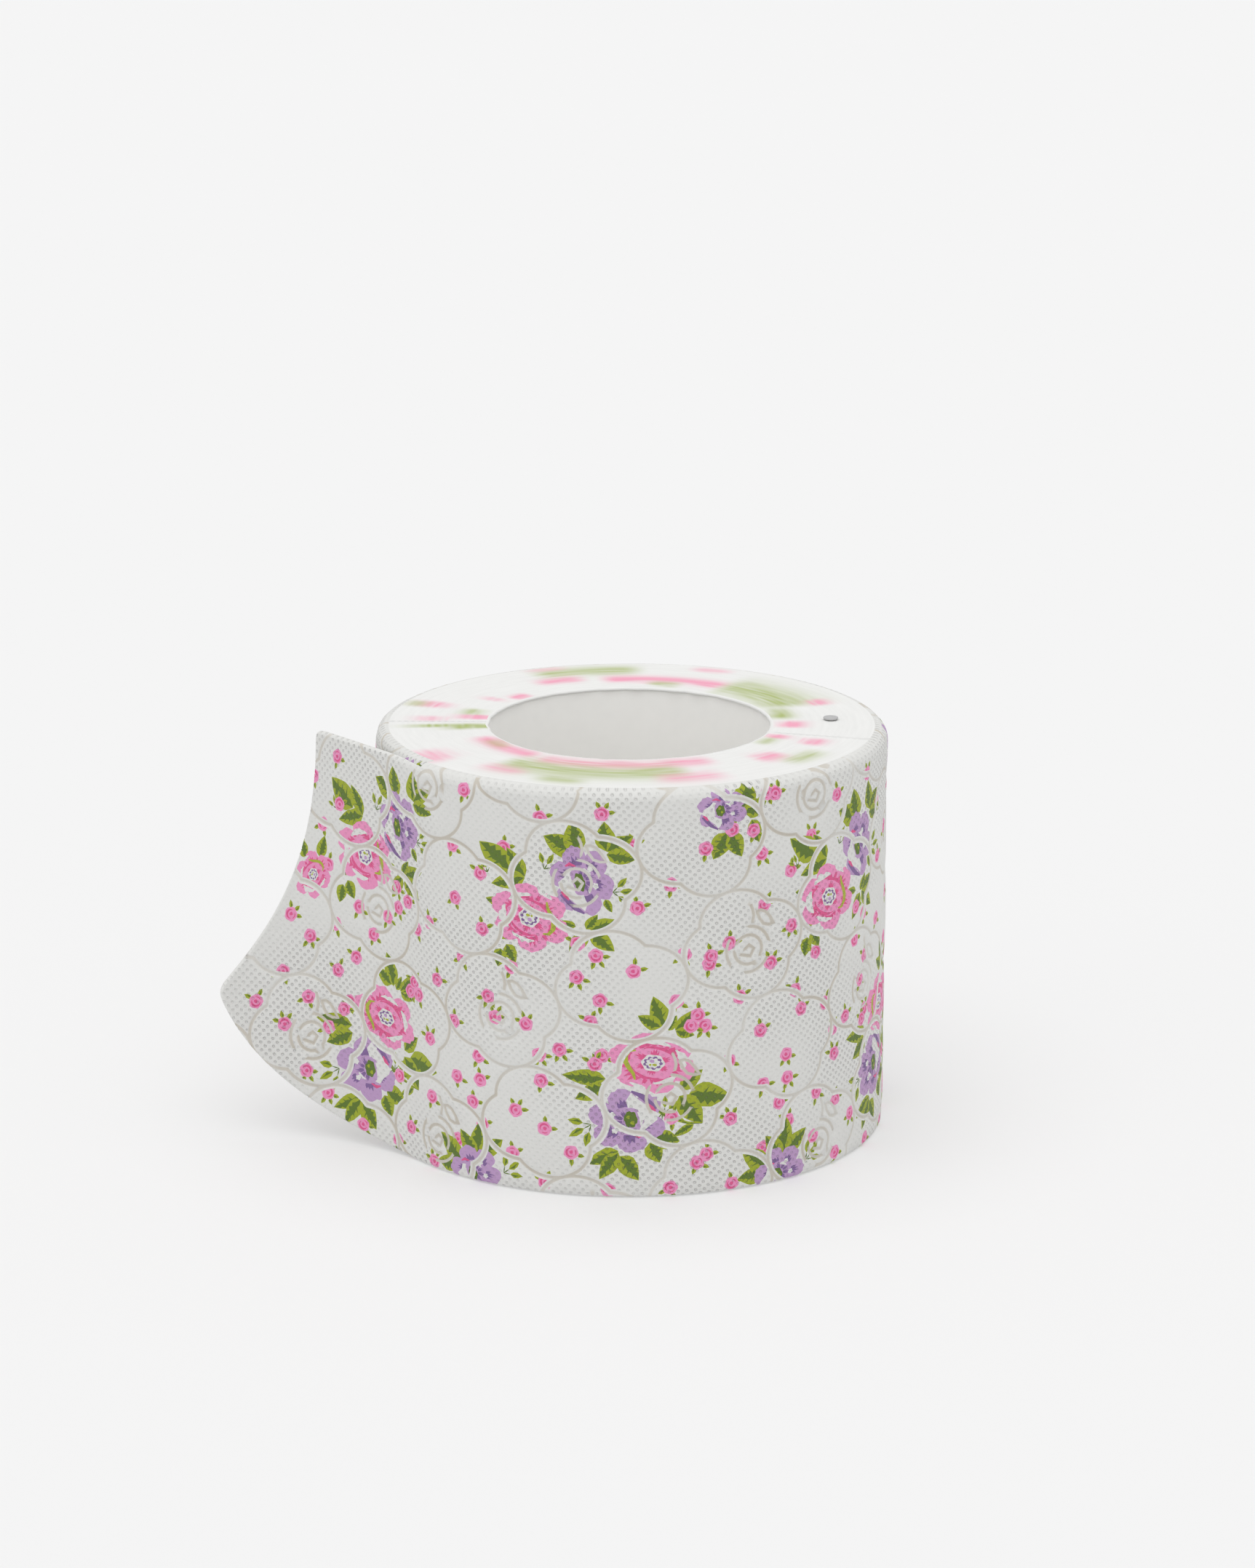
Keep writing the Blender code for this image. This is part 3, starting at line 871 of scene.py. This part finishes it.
TOP_STREAKS = [              # colour, radius, start and end in degrees from the right, half width, strength
    ("olive", 58, 86, 118, 3.4, 0.55), ("pink", 48, 55, 100, 2.4, 0.75), ("pink", 50, 104, 122, 2.2, 0.7),
    ("pink", 41, 132, 142, 1.6, 0.9), ("pink", 45, 143, 149, 2.4, 0.4), ("olive", 48, 20, 58, 6.2, 0.58),
    ("olive", 42, 4, 22, 2.2, 0.7), ("pink", 56, 19, 27, 2.0, 0.7), ("pink", 44, -8, 3, 2.4, 0.75),
    ("pink", 42, -24, -17, 2.2, 0.8), ("pink", 53, -27, -18, 2.2, 0.7), ("pink", 51, -50, -38, 2.6, 0.7),
    ("olive", 58, -46, -30, 2.4, 0.5), ("olive", 41, -34, -22, 1.8, 0.5), ("pink", 42, 200, 236, 2.2, 0.75),
    ("pink", 44, 236, 300, 2.6, 0.62), ("olive", 52, 230, 288, 4.4, 0.55), ("pink", 58, 228, 243, 2.2, 0.5),
    ("pink", 58, 276, 296, 3.0, 0.5), ("olive", 61, 246, 260, 2.2, 0.5), ("pink", 63, 207, 220, 4.0, 0.55),
    ("pink", 57, 156, 164, 3.0, 0.6), ("olive", 62, 157, 164, 2.2, 0.4), ("pink", 42, 168, 176, 3.2, 0.85),
    ("pink", 54, 172, 179, 3.0, 0.45), ("olive", 44, 160, 170, 2.2, 0.5), ("olive", 43, 181, 190, 4.4, 0.75),
    ("olive", 53, 181.5, 186, 4.6, 0.6), ("pink", 62, 62, 74, 1.4, 0.5), ("olive", 43.5, 70, 84, 1.6, 0.5),
    ("pink", 63, 106, 118, 1.4, 0.4), ("olive", 41.5, 205, 220, 1.6, 0.4),
]
TOP_SEAMS = ((179.0, 38.5, 66.0), (-15.5, 40.0, 66.5))   # thin joins: degrees, from and to radius
SEAM_WIDTH = 0.35
SEAM_TONE = 0.22
TOP_PAINTED_LIGHT_WHITE = (237, 237, 235)  # lighter than the side's white, set to the photograph: painted light for the top's brighter lighting; the lip also takes it, which paints out the shade under the lip
TOP_PINK = (243, 168, 192)
TOP_OLIVE = (172, 186, 112)
TOP_INK = 1.6                # how strongly the printed turns show on top
STREAK_SPREAD = 1.45         # the streaks' half widths are taken this much wider
TOP_RING_STEP = 0.9
TOP_SECTORS = 320
FOOT_RING_STEP = 9.0
FOOT_SECTORS = 80
END_REACH = 26.0             # the flat ends' rings of points reach this far out from the winding's inside
END_MARGIN = 0.6             # and keep this far from the rim
RAGGED_LIP = 0.25            # how far the torn edge at the hole wanders
LIP_RADIUS = 37.75           # the top turn hangs this far in, over the core's end
LIP_BACK = 38.03
LIP_DROP = 0.62
LIP_UNDER = 0.36             # from the top down to the cloth's underside over the core
LIP_EDGE = ((0.8, 0.0), (0.14, 0.14), (0.0, 0.5), (0.0, LIP_DROP))   # how far out and down each ring lies
LIP_INSIDE = ((LIP_BACK, HEIGHT - LIP_DROP), (LIP_BACK, HEIGHT - LIP_UNDER),
              (INNER_RADIUS, HEIGHT - LIP_UNDER), (INNER_RADIUS, 0.0))


def top_colors(x, y):
    """Colour of the roll's top at each place: a lighter white, which is painted light, with soft streaks
    where printed turns end.
    """
    radius = np.hypot(x, y)
    degrees = np.degrees(np.arctan2(y, x))
    # painted light: the top starts from a lighter white than the sides
    color = np.tile(np.array(linear(TOP_PAINTED_LIGHT_WHITE)), (len(x), 1))
    grain = np.array([noise.noise(Vector((a * 0.09, r * 0.9, 0))) for a, r in zip(degrees, radius)])
    for name, middle, start, end, width, strength in TOP_STREAKS:
        tint = np.array(linear(TOP_PINK if name == "pink" else TOP_OLIVE))
        around = (degrees - start) % 360
        span = (end - start) % 360
        soft = min(8.0, span / 2)
        before = np.where(around > 180 + span / 2, around - 360, around)
        ends = np.clip(np.minimum(before, span - before) / soft + 0.25, 0, 1)
        ends = ends * ends * (3 - 2 * ends)
        across = np.exp(-((radius - middle + 1.2 * grain) / (STREAK_SPREAD * width)) ** 2)
        amount = np.clip(TOP_INK * strength * ends * across * (0.85 + 0.5 * grain), 0, 1)[:, None]
        color = color * (1 - amount) + tint * amount
    for heading, start, end in TOP_SEAMS:
        c, s = spot(1.0, math.radians(heading))
        along, off = x * c + y * s, np.abs(y * c - x * s)
        line = np.exp(-(off / SEAM_WIDTH) ** 2) * (along > start) * (along < end)
        color = color * (1 - SEAM_TONE * line[:, None])
    return color


def add_lip(skin):
    """Rings from the flat top down over the ragged lip and back to the inside of the winding."""
    angles = [2 * math.pi * k / TOP_SECTORS for k in range(TOP_SECTORS)]
    ragged = [LIP_RADIUS + RAGGED_LIP * noise.noise(Vector((*spot(9, a), 1)))
              + 0.45 * RAGGED_LIP * noise.noise(Vector((*spot(60, a), 2))) for a in angles]
    rings = []
    for grow, drop in LIP_EDGE:
        z = HEIGHT - drop
        level = min(1.0, (HEIGHT - z) / 0.3)
        places = [(*spot(r + grow, a), z) for r, a in zip(ragged, angles)]
        rings.append(skin.add_points(places, None, [(*spot(-level, a), 1 - level) for a in angles]))
    for radius, z in LIP_INSIDE:
        rings.append(skin.add_points([(*spot(radius, a), z) for a in angles]))
    for upper, lower in zip(rings, rings[1:]):
        for k in range(TOP_SECTORS):
            n = (k + 1) % TOP_SECTORS
            pair = [(upper + k, upper + n, lower + n), (upper + k, lower + n, lower + k)]
            # painted light: the lip and the winding's inside get the top's lighter white, painting out the
            # shade under the lip
            skin.add_plain(pair, linear(TOP_PAINTED_LIGHT_WHITE))
    return rings[0], rings[-1]


def add_end(skin, chain, ring, height):
    """Flat top or underside, between a chain of corners on the rim and a ring around the hole."""
    ring_step, sectors = (TOP_RING_STEP, TOP_SECTORS) if height else (FOOT_RING_STEP, FOOT_SECTORS)
    outer = [tuple(skin.verts[k][:2]) for k in chain]
    hole = [tuple(skin.verts[ring + k][:2]) for k in range(TOP_SECTORS)]
    loose = []
    for index in range(1, int(END_REACH / ring_step)):
        radius = INNER_RADIUS + ring_step * index
        for k in range(sectors):
            angle = 2 * math.pi * (k + 0.5 * (index % 2)) / sectors
            s = (math.pi * 1.5 - angle) * CLOTH_RADIUS
            edge = OUTER_RADIUS - RIM_RADIUS - PITCH * ((s - S_LEAVE) % TURN_LENGTH) / TURN_LENGTH
            if radius < edge - END_MARGIN:
                loose.append(spot(radius, angle))
    flat, faces, _ = fill(outer, loose, holes=[hole])
    shade = top_colors(flat[:, 0], flat[:, 1]) if height else np.tile(np.array(WHITE), (len(flat), 1))
    rim = np.array(outer)
    apart = np.hypot(flat[:, :1] - rim[None, :, 0], flat[:, 1:] - rim[None, :, 1])
    shared = np.array(skin.cloth)[np.array(chain)[apart.argmin(1)]]
    cloth = np.where(apart.min(1)[:, None] < 0.01, shared, 0)
    normals = np.tile([0.0, 0.0, 1.0 if height else -1.0], (len(flat), 1))
    start = skin.add_points(np.column_stack([flat, np.full(len(flat), height)]), cloth, normals)
    colors = [tuple(map(tuple, shade[list(face)])) for face in faces]
    skin.add_faces(faces.tolist(), colors, CUT, start, not height)


def build_roll_cloth(shapes, finishes):
    """The wound cloth: printed and quilted outside, cut edges above and below."""
    rows = mesh_rows()
    count = round(TURN_LENGTH / OUTLINE_STEP)
    along = [S_LEAVE + TURN_LENGTH * k / count for k in range(count + 1)]
    outline = ([(s, 0.0) for s in along] + [(S_END, z) for z in rows] + [(s, HEIGHT) for s in along[::-1]]
               + [(S_LEAVE, z) for z in rows[::-1]])
    places, triangles, colors, lift, slope, groove = printed_patch(
        outline, S_LEAVE, S_END, shapes, plain_points(S_LEAVE, S_END, rows, STEP))
    calm = near_rim(places)
    skin = Skin()
    points = roll_place(places[:, 0], places[:, 1], lift * calm)
    normals = roll_normals(places[:, 0], places[:, 1], slope * calm[:, None])
    skin.add_points(points, np.column_stack([places, groove]), normals)
    skin.add_faces(triangles.tolist(), colors, PRINTED)

    loop = boundary(triangles)
    outer_side = side(loop, places, 0, lambda s: s < S_LEAVE + TOUCH)
    inner_side = side(loop, places, 0, lambda s: s > S_END - TOUCH)
    skin.add_plain(zipped(outer_side, inner_side, places[outer_side, 1], places[inner_side, 1]))
    top_ring, foot_ring = add_lip(skin)
    add_end(skin, side(loop, places, 1, lambda z: z > HEIGHT - TOUCH), top_ring, HEIGHT)
    add_end(skin, side(loop, places, 1, lambda z: z < TOUCH), foot_ring, 0.0)
    roll = skin.build("roll_cloth", finishes)
    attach(roll, "roll")
    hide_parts("wound_fabric")
    return roll


def distance_to_line(places, line):
    """Distance of each place from a line of points."""
    best = np.full(len(places), 1e9)
    for (x0, y0), (x1, y1) in zip(line, line[1:]):
        along = np.array([x1 - x0, y1 - y0])
        share = np.clip(((places - (x0, y0)) @ along) / max(along @ along, 1e-12), 0, 1)
        nearest = np.array([[x0, y0]]) + share[:, None] * along
        best = np.minimum(best, np.linalg.norm(places - nearest, axis=1))
    return np.where(best < MERGE / 2, 0.0, best)


def build_free_end_cloth(shapes, finishes):
    """The free end: printed and quilted outside, plain inside, with soft rounded edges."""
    edge = free_end_outline()
    low = min(s for s, _ in edge)
    root = [(S_LEAVE, z) for z in mesh_rows() if edge[-1][1] - 0.05 > z]
    outline = edge + root[::-1]
    rows = [FINE_STEP * k for k in range(1, round(HEIGHT / FINE_STEP))]
    points = plain_points(low, S_LEAVE, rows, FINE_STEP)
    points += [place for inset in EDGE_ROWS for place in beside(edge, -inset)]
    places, triangles, colors, lift, slope, groove = printed_patch(outline, low, S_LEAVE, shapes, points)
    to_edge = distance_to_line(places, edge)
    reach = S_LEAVE - places[:, 0]
    rim, _ = free_end_rim(reach)
    back = np.maximum(rounded(to_edge, EDGE_RADIUS) * (reach > TOUCH) * np.clip(reach, 0, 1),
                      rounded(HEIGHT - places[:, 1], rim))
    back = np.minimum(np.maximum(back, rounded(places[:, 1], EDGE_RADIUS)), EDGE_RADIUS)
    root_share = np.clip(reach / ROOT_REACH, 0, 1)
    calm = np.clip(to_edge / CALM_REACH, 0, 1) * root_share + near_rim(places) * (1 - root_share)
    middle, outward = free_end_surface(places[:, 0], places[:, 1])
    front = middle + outward * (EDGE_RADIUS - back + lift * calm)[:, None]
    right = np.stack([-outward[:, 1], outward[:, 0], 0 * reach], 1)
    slope = slope * calm[:, None]
    normals = outward - right * slope[:, :1] - np.array([[0.0, 0.0, 1.0]]) * slope[:, 1:]
    seam = np.clip(1 - reach / SEAM_REACH, 0, 1)[:, None]
    normals = normals * (1 - seam) + roll_normals(places[:, 0], places[:, 1], slope) * seam
    normals = np.where((back > 0.02)[:, None] & (seam < 0.999), 0, normals)
    skin = Skin()
    skin.add_points(front, np.column_stack([places, groove]), normals)
    skin.add_faces(triangles.tolist(), colors, PRINTED)

    loop = boundary(triangles)
    flat, faces, _ = fill([tuple(places[k]) for k in loop], points)
    middle, outward = free_end_surface(flat[:, 0], flat[:, 1])
    behind = EDGE_RADIUS - rounded(distance_to_line(flat, edge), EDGE_RADIUS)
    start = skin.add_points(middle - outward * behind[:, None], np.column_stack([flat, np.zeros(len(flat))]))
    skin.add_plain(faces.tolist(), WHITE, start, True)

    front_root = side(loop, places, 0, lambda s: s > S_LEAVE - TOUCH)
    back_root = side(range(len(flat)), flat, 0, lambda s: s > S_LEAVE - TOUCH)
    wall = zipped(front_root, [start + k for k in back_root], places[front_root, 1], flat[back_root, 1])
    skin.add_plain(wall, flip=True)
    cloth = skin.build("free_end_cloth", finishes)
    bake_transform(cloth)
    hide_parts("free_end")
    return cloth


# =============================================================================== materials
class Nodes:
    """Short way to write a material's node tree."""

    def __init__(self, name):
        self.material = bpy.data.materials.new(name)
        self.material.use_nodes = True
        self.tree = self.material.node_tree
        self.shader = self.tree.nodes["Principled BSDF"]

    def add(self, kind, inputs=(), **settings):
        node = self.tree.nodes.new(kind)
        for key, value in settings.items():
            setattr(node, key, value)
        for socket, value in dict(inputs).items():
            self.feed(node.inputs[socket], value)
        return node

    def feed(self, socket, value):
        if isinstance(value, bpy.types.NodeSocket):
            self.tree.links.new(value, socket)
        else:
            socket.default_value = value

    def attribute(self, name, output):
        return self.add("ShaderNodeAttribute", attribute_name=name).outputs[output]

    def math(self, operation, a, b=0.0, c=0.0):
        return self.add("ShaderNodeMath", {0: a, 1: b, 2: c}, operation=operation).outputs[0]

    def times(self, a, b):
        return self.math("MULTIPLY", a, b)

    def ramp(self, factor, low, high, start=0.0, end=1.0):
        node = self.add("ShaderNodeMapRange", {"Value": factor, "From Min": low, "From Max": high,
                                               "To Min": start, "To Max": end})
        return node.outputs["Result"]

    def noise(self, place, scale, detail=3.0):
        inputs = {"Vector": place, "Scale": scale, "Detail": detail}
        return self.add("ShaderNodeTexNoise", inputs).outputs["Fac"]

    def mix(self, factor, a, b, blend="MIX"):
        node = self.add("ShaderNodeMix", data_type="RGBA", blend_type=blend)
        for socket, value in ((0, factor), (6, a), (7, b)):
            self.feed(node.inputs[socket], value)
        return node.outputs[2]

    def shaded(self, color, shade):
        """The colour made darker or lighter by a number."""
        grey = self.add("ShaderNodeCombineColor", {0: shade, 1: shade, 2: shade}).outputs[0]
        return self.mix(1.0, color, grey, "MULTIPLY")

    def bump(self, height, distance, strength):
        inputs = {"Height": height, "Distance": distance, "Strength": strength}
        return self.add("ShaderNodeBump", inputs).outputs["Normal"]

    def set(self, **values):
        for name, value in values.items():
            self.feed(self.shader.inputs[name.replace("_", " ")], value)


DIMPLE_WAVES = ((0.44, -0.405), (0.42, 0.55))   # waves per millimetre across the embossed dimples
DIMPLE_DEPTH = 0.40 * MM
# painted shade: the embossed dimples' hollows are darkened towards this colour
DIMPLE_PAINTED_SHADE = (0.30, 0.29, 0.27, 1)
# painted shade: the grooves' middles are darkened to this beige, unevenly along their length
GROOVE_PAINTED_SHADE = (202, 194, 180)
WEAVE = 3.4                                     # threads per millimetre


def printed_cloth():
    """Quilted cotton: print from the mesh, painted shade in the grooves and in the embossed dimples, and fine
    weave.
    """
    n = Nodes("printed_cloth")
    ink = n.attribute("print", "Color")
    cloth = n.attribute("cloth", "Vector")
    axes = n.add("ShaderNodeSeparateXYZ", {0: cloth}).outputs
    blotch = n.noise(cloth, 0.035, 2.0)
    thread = n.noise(cloth, 1.6, 4.0)
    # painted shade along the grooves' middles, blotchy along their length
    groove = n.times(n.ramp(axes[2], 0.30, 0.62), n.ramp(blotch, 0.36, 0.60, 0.35, 1.0))
    base = n.mix(n.times(groove, 0.80), ink, (*linear(GROOVE_PAINTED_SHADE), 1))
    waves = []
    for across, up in DIMPLE_WAVES:
        phase = n.math("MULTIPLY_ADD", axes[0], 2 * math.pi * across, n.times(axes[1], 2 * math.pi * up))
        waves.append(n.math("COSINE", phase))
    dimple = n.ramp(n.math("ADD", *waves), 0.7, 1.9)
    clear = n.math("SUBTRACT", 1.0, n.math("MINIMUM", n.times(axes[2], 3.0), 1.0))
    wear = n.ramp(n.noise(cloth, 0.025, 1.0), 0.40, 0.62, 1.0, 0.25)
    pressed = n.times(n.times(dimple, clear), wear)
    threads = n.times(*(n.math("SINE", n.times(axes[k], 2 * math.pi * WEAVE)) for k in (0, 1)))
    relief = n.math("ADD", n.times(pressed, -1.0), n.times(threads, 0.05))
    relief = n.math("ADD", relief, n.times(thread, 0.10))
    base = n.shaded(base, n.ramp(thread, 0.25, 0.75, 0.955, 1.02))
    # painted shade: the dimple mask also darkens the base colour in the hollows
    n.set(Base_Color=n.mix(n.times(pressed, 0.16), base, DIMPLE_PAINTED_SHADE),
          Normal=n.bump(relief, DIMPLE_DEPTH, 0.9), Roughness=n.ramp(thread, 0.2, 0.8, 0.72, 0.9),
          Sheen_Weight=0.15, Sheen_Roughness=0.4, Specular_IOR_Level=0.25)
    return n.material


def cut_edge():
    """Ends of the many turns of cloth, pressed into one smooth face, with faint rings."""
    n = Nodes("cut_edge")
    place = n.add("ShaderNodeTexCoord").outputs["Object"]
    centred = n.add("ShaderNodeVectorMath", {0: place, 1: (AXIS.x, AXIS.y, 0)}, operation="SUBTRACT")
    axes = n.add("ShaderNodeSeparateXYZ", {0: centred.outputs[0]}).outputs
    flat = n.add("ShaderNodeCombineXYZ", {0: axes[0], 1: axes[1]}).outputs[0]
    radius = n.add("ShaderNodeVectorMath", {0: flat}, operation="LENGTH").outputs["Value"]
    angle = n.math("ABSOLUTE", n.math("ARCTAN2", axes[1], axes[0]))
    around = n.add("ShaderNodeCombineXYZ", {0: n.times(radius, 900.0), 1: n.times(angle, 5.0), 2: axes[2]})
    fibre = n.noise(around.outputs[0], 1.0, 4.0)
    turns = n.math("SINE", n.times(radius, 2 * math.pi / (PITCH * MM)))
    relief = n.math("ADD", n.times(fibre, 0.5), n.times(turns, 0.12))
    n.set(Base_Color=n.shaded(n.attribute("print", "Color"), n.ramp(fibre, 0.25, 0.75, 0.965, 1.02)),
          Normal=n.bump(relief, 0.15 * MM, 0.5), Roughness=n.ramp(fibre, 0.2, 0.8, 0.75, 0.92),
          Sheen_Weight=0.1, Specular_IOR_Level=0.25)
    return n.material


def fibrous(name, color, scale, roughness, relief=0.1, metallic=0.0, variation=0.05):
    """Plain material with a fine grain: paper, tape or brushed steel."""
    n = Nodes(name)
    grain = n.noise(n.add("ShaderNodeTexCoord").outputs["Object"], scale, 5.0)
    shade = n.ramp(grain, 0.25, 0.75, 1 - variation, 1 + variation / 3)
    n.set(Base_Color=n.shaded((*linear(color), 1), shade), Metallic=metallic,
          Normal=n.bump(grain, relief * MM, 0.4),
          Roughness=n.ramp(grain, 0.2, 0.8, roughness - 0.08, roughness + 0.06))
    return n.material


# ============================================================================ other pieces
CORE_WEAR = 0.35             # rounding of the core's worn ends
PIN_SHANK_RADIUS = 0.4
PIN_POINT = 2.0              # length of the pin's point


def turned(name, profile, segments, place, finish):
    """Closed solid of revolution from (radius, height) corners, in millimetres; a profile may start
    and end on the axis."""
    corners, faces = [], []
    size = len(profile)
    for step in range(segments):
        angle = 2 * math.pi * step / segments
        corners += [(r * math.cos(angle), r * math.sin(angle), z) for r, z in profile]
        here, there = step * size, (step + 1) % segments * size
        faces += [(here + k, here + k + 1, there + k + 1, there + k) for k in range(size - 1)]
    mesh = bpy.data.meshes.new(name)
    mesh.from_pydata([(x * MM + place.x, y * MM + place.y, z * MM) for x, y, z in corners], [], faces)
    clean(mesh, 0.001)
    mesh.set_sharp_from_angle(angle=math.radians(50))
    mesh.materials.append(finish)
    return add_object(name, mesh)


def build_core():
    """Paper core: plain off-white tube with softly worn ends."""
    low, high = core_low.z / MM, core_high.z / MM
    bevel = CORE_WEAR * 0.3
    inner, outer = BORE_RADIUS, CORE_OUTER_RADIUS
    profile = [(inner + CORE_WEAR, high), (outer - CORE_WEAR, high), (outer - bevel, high - bevel),
               (outer, high - CORE_WEAR), (outer, low + CORE_WEAR), (outer - CORE_WEAR, low),
               (inner + CORE_WEAR, low), (inner, low + CORE_WEAR), (inner, high - CORE_WEAR),
               (inner + bevel, high - bevel), (inner + CORE_WEAR, high)]
    paper = fibrous("core_paper", (250, 249, 246), 260.0, 0.85, 0.06, 0.0, 0.02)
    core = turned("paper_core", profile, 240, AXIS, paper)
    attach(core, "roll")
    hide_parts("core_tube")


def build_pin():
    """Flat-headed steel pin; only its head shows."""
    low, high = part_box("end_pin")
    place = (low + high) / 2
    radius = (high.x - low.x) / 2 / MM
    top, foot = high.z / MM, low.z / MM
    profile = [(0, top), (radius * 0.93, top), (radius * 0.98, top - 0.04), (radius, top - 0.1),
               (radius, top - 0.40), (radius * 0.93, top - 0.48), (PIN_SHANK_RADIUS, top - 0.5),
               (PIN_SHANK_RADIUS, foot + PIN_POINT), (0, foot)]
    steel = fibrous("pin_steel", (190, 190, 190), 900.0, 0.6, 0.02, 0.1, 0.06)
    pin = turned("steel_pin", profile, 48, place, steel)
    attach(pin, "roll")
    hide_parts("end_pin")


# ==================================================================================== stage
FLOOR_HALF = 12.0            # metres
FLOOR_DROP = 0.0002
FLOOR_COLOR = (203, 203, 203)
FLOOR_GLOW = 0.28            # light of the floor's own, set to the photograph's near-white floor
SKY_STRENGTH = 0.63
SUNS = (("top_light", 1.26, 70, 8, 0), ("key_light", 0.10, 40, 55, -52))   # strength, spread, tilt, turn
CAMERA_DISTANCE = 1.3055     # metres from the middle of the roll
CAMERA_ELEVATION = math.radians(16.99)
CAMERA_AIM_UP = math.radians(1.60)      # the roll's middle sits this far below the picture's middle
CAMERA_AIM_LEFT = math.radians(0.025)
LENS = 110.14                # mm, on a 36 mm sensor


def build_floor():
    """Plain pale floor. It fills the main view; in a low view the surroundings show beyond it."""
    mesh = bpy.data.meshes.new("floor")
    bm = bmesh.new()
    bmesh.ops.create_grid(bm, x_segments=8, y_segments=8, size=FLOOR_HALF)
    bm.to_mesh(mesh)
    bm.free()
    paper = fibrous("floor_paper", FLOOR_COLOR, 3.0, 0.9, 0.0, 0.0, 0.004)
    shader = paper.node_tree.nodes["Principled BSDF"]
    shader.inputs["Emission Color"].default_value = (1, 1, 1, 1)
    shader.inputs["Emission Strength"].default_value = FLOOR_GLOW
    mesh.materials.append(paper)
    floor = add_object("floor", mesh)
    floor.location.z = -FLOOR_DROP


def light_scene():
    """Even white surroundings, with wide soft suns from above and from the upper left."""
    world = bpy.data.worlds.new("studio")
    world.use_nodes = True
    shade = world.node_tree.nodes["Background"]
    shade.inputs["Color"].default_value = (1, 1, 1, 1)
    shade.inputs["Strength"].default_value = SKY_STRENGTH
    bpy.context.scene.world = world
    for name, strength, spread, tilt, turn in SUNS:
        lamp = bpy.data.lights.new(name, "SUN")
        lamp.energy = strength
        lamp.angle = math.radians(spread)
        add_object(name, lamp).rotation_euler = (math.radians(tilt), 0, math.radians(turn))
    bpy.context.scene.view_settings.view_transform = "Standard"


def add_camera():
    """Camera at the photograph's place, from a fit to the roll's and the hole's outlines."""
    camera = bpy.data.cameras.new("camera")
    camera.lens = LENS
    camera.clip_start = 0.01
    camera.clip_end = 60
    item = add_object("camera", camera)
    item.location = (AXIS.x, AXIS.y - CAMERA_DISTANCE * math.cos(CAMERA_ELEVATION),
                     HEIGHT * MM / 2 + CAMERA_DISTANCE * math.sin(CAMERA_ELEVATION))
    item.rotation_euler = (math.pi / 2 - CAMERA_ELEVATION + CAMERA_AIM_UP, 0, CAMERA_AIM_LEFT)
    bpy.context.scene.camera = item


def main():
    """Builds the whole scene."""
    add_camera()
    light_scene()
    build_floor()
    finishes = [printed_cloth(), cut_edge()]
    shapes = print_shapes()
    build_roll_cloth(shapes, finishes)
    build_free_end_cloth(shapes, finishes)
    build_core()
    build_pin()
    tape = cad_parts["start_tape"].data
    tape.materials.clear()
    tape.materials.append(fibrous("paper_tape", (196, 188, 150), 420.0, 0.6, 0.05))


main()
bpy.context.view_layer.update()
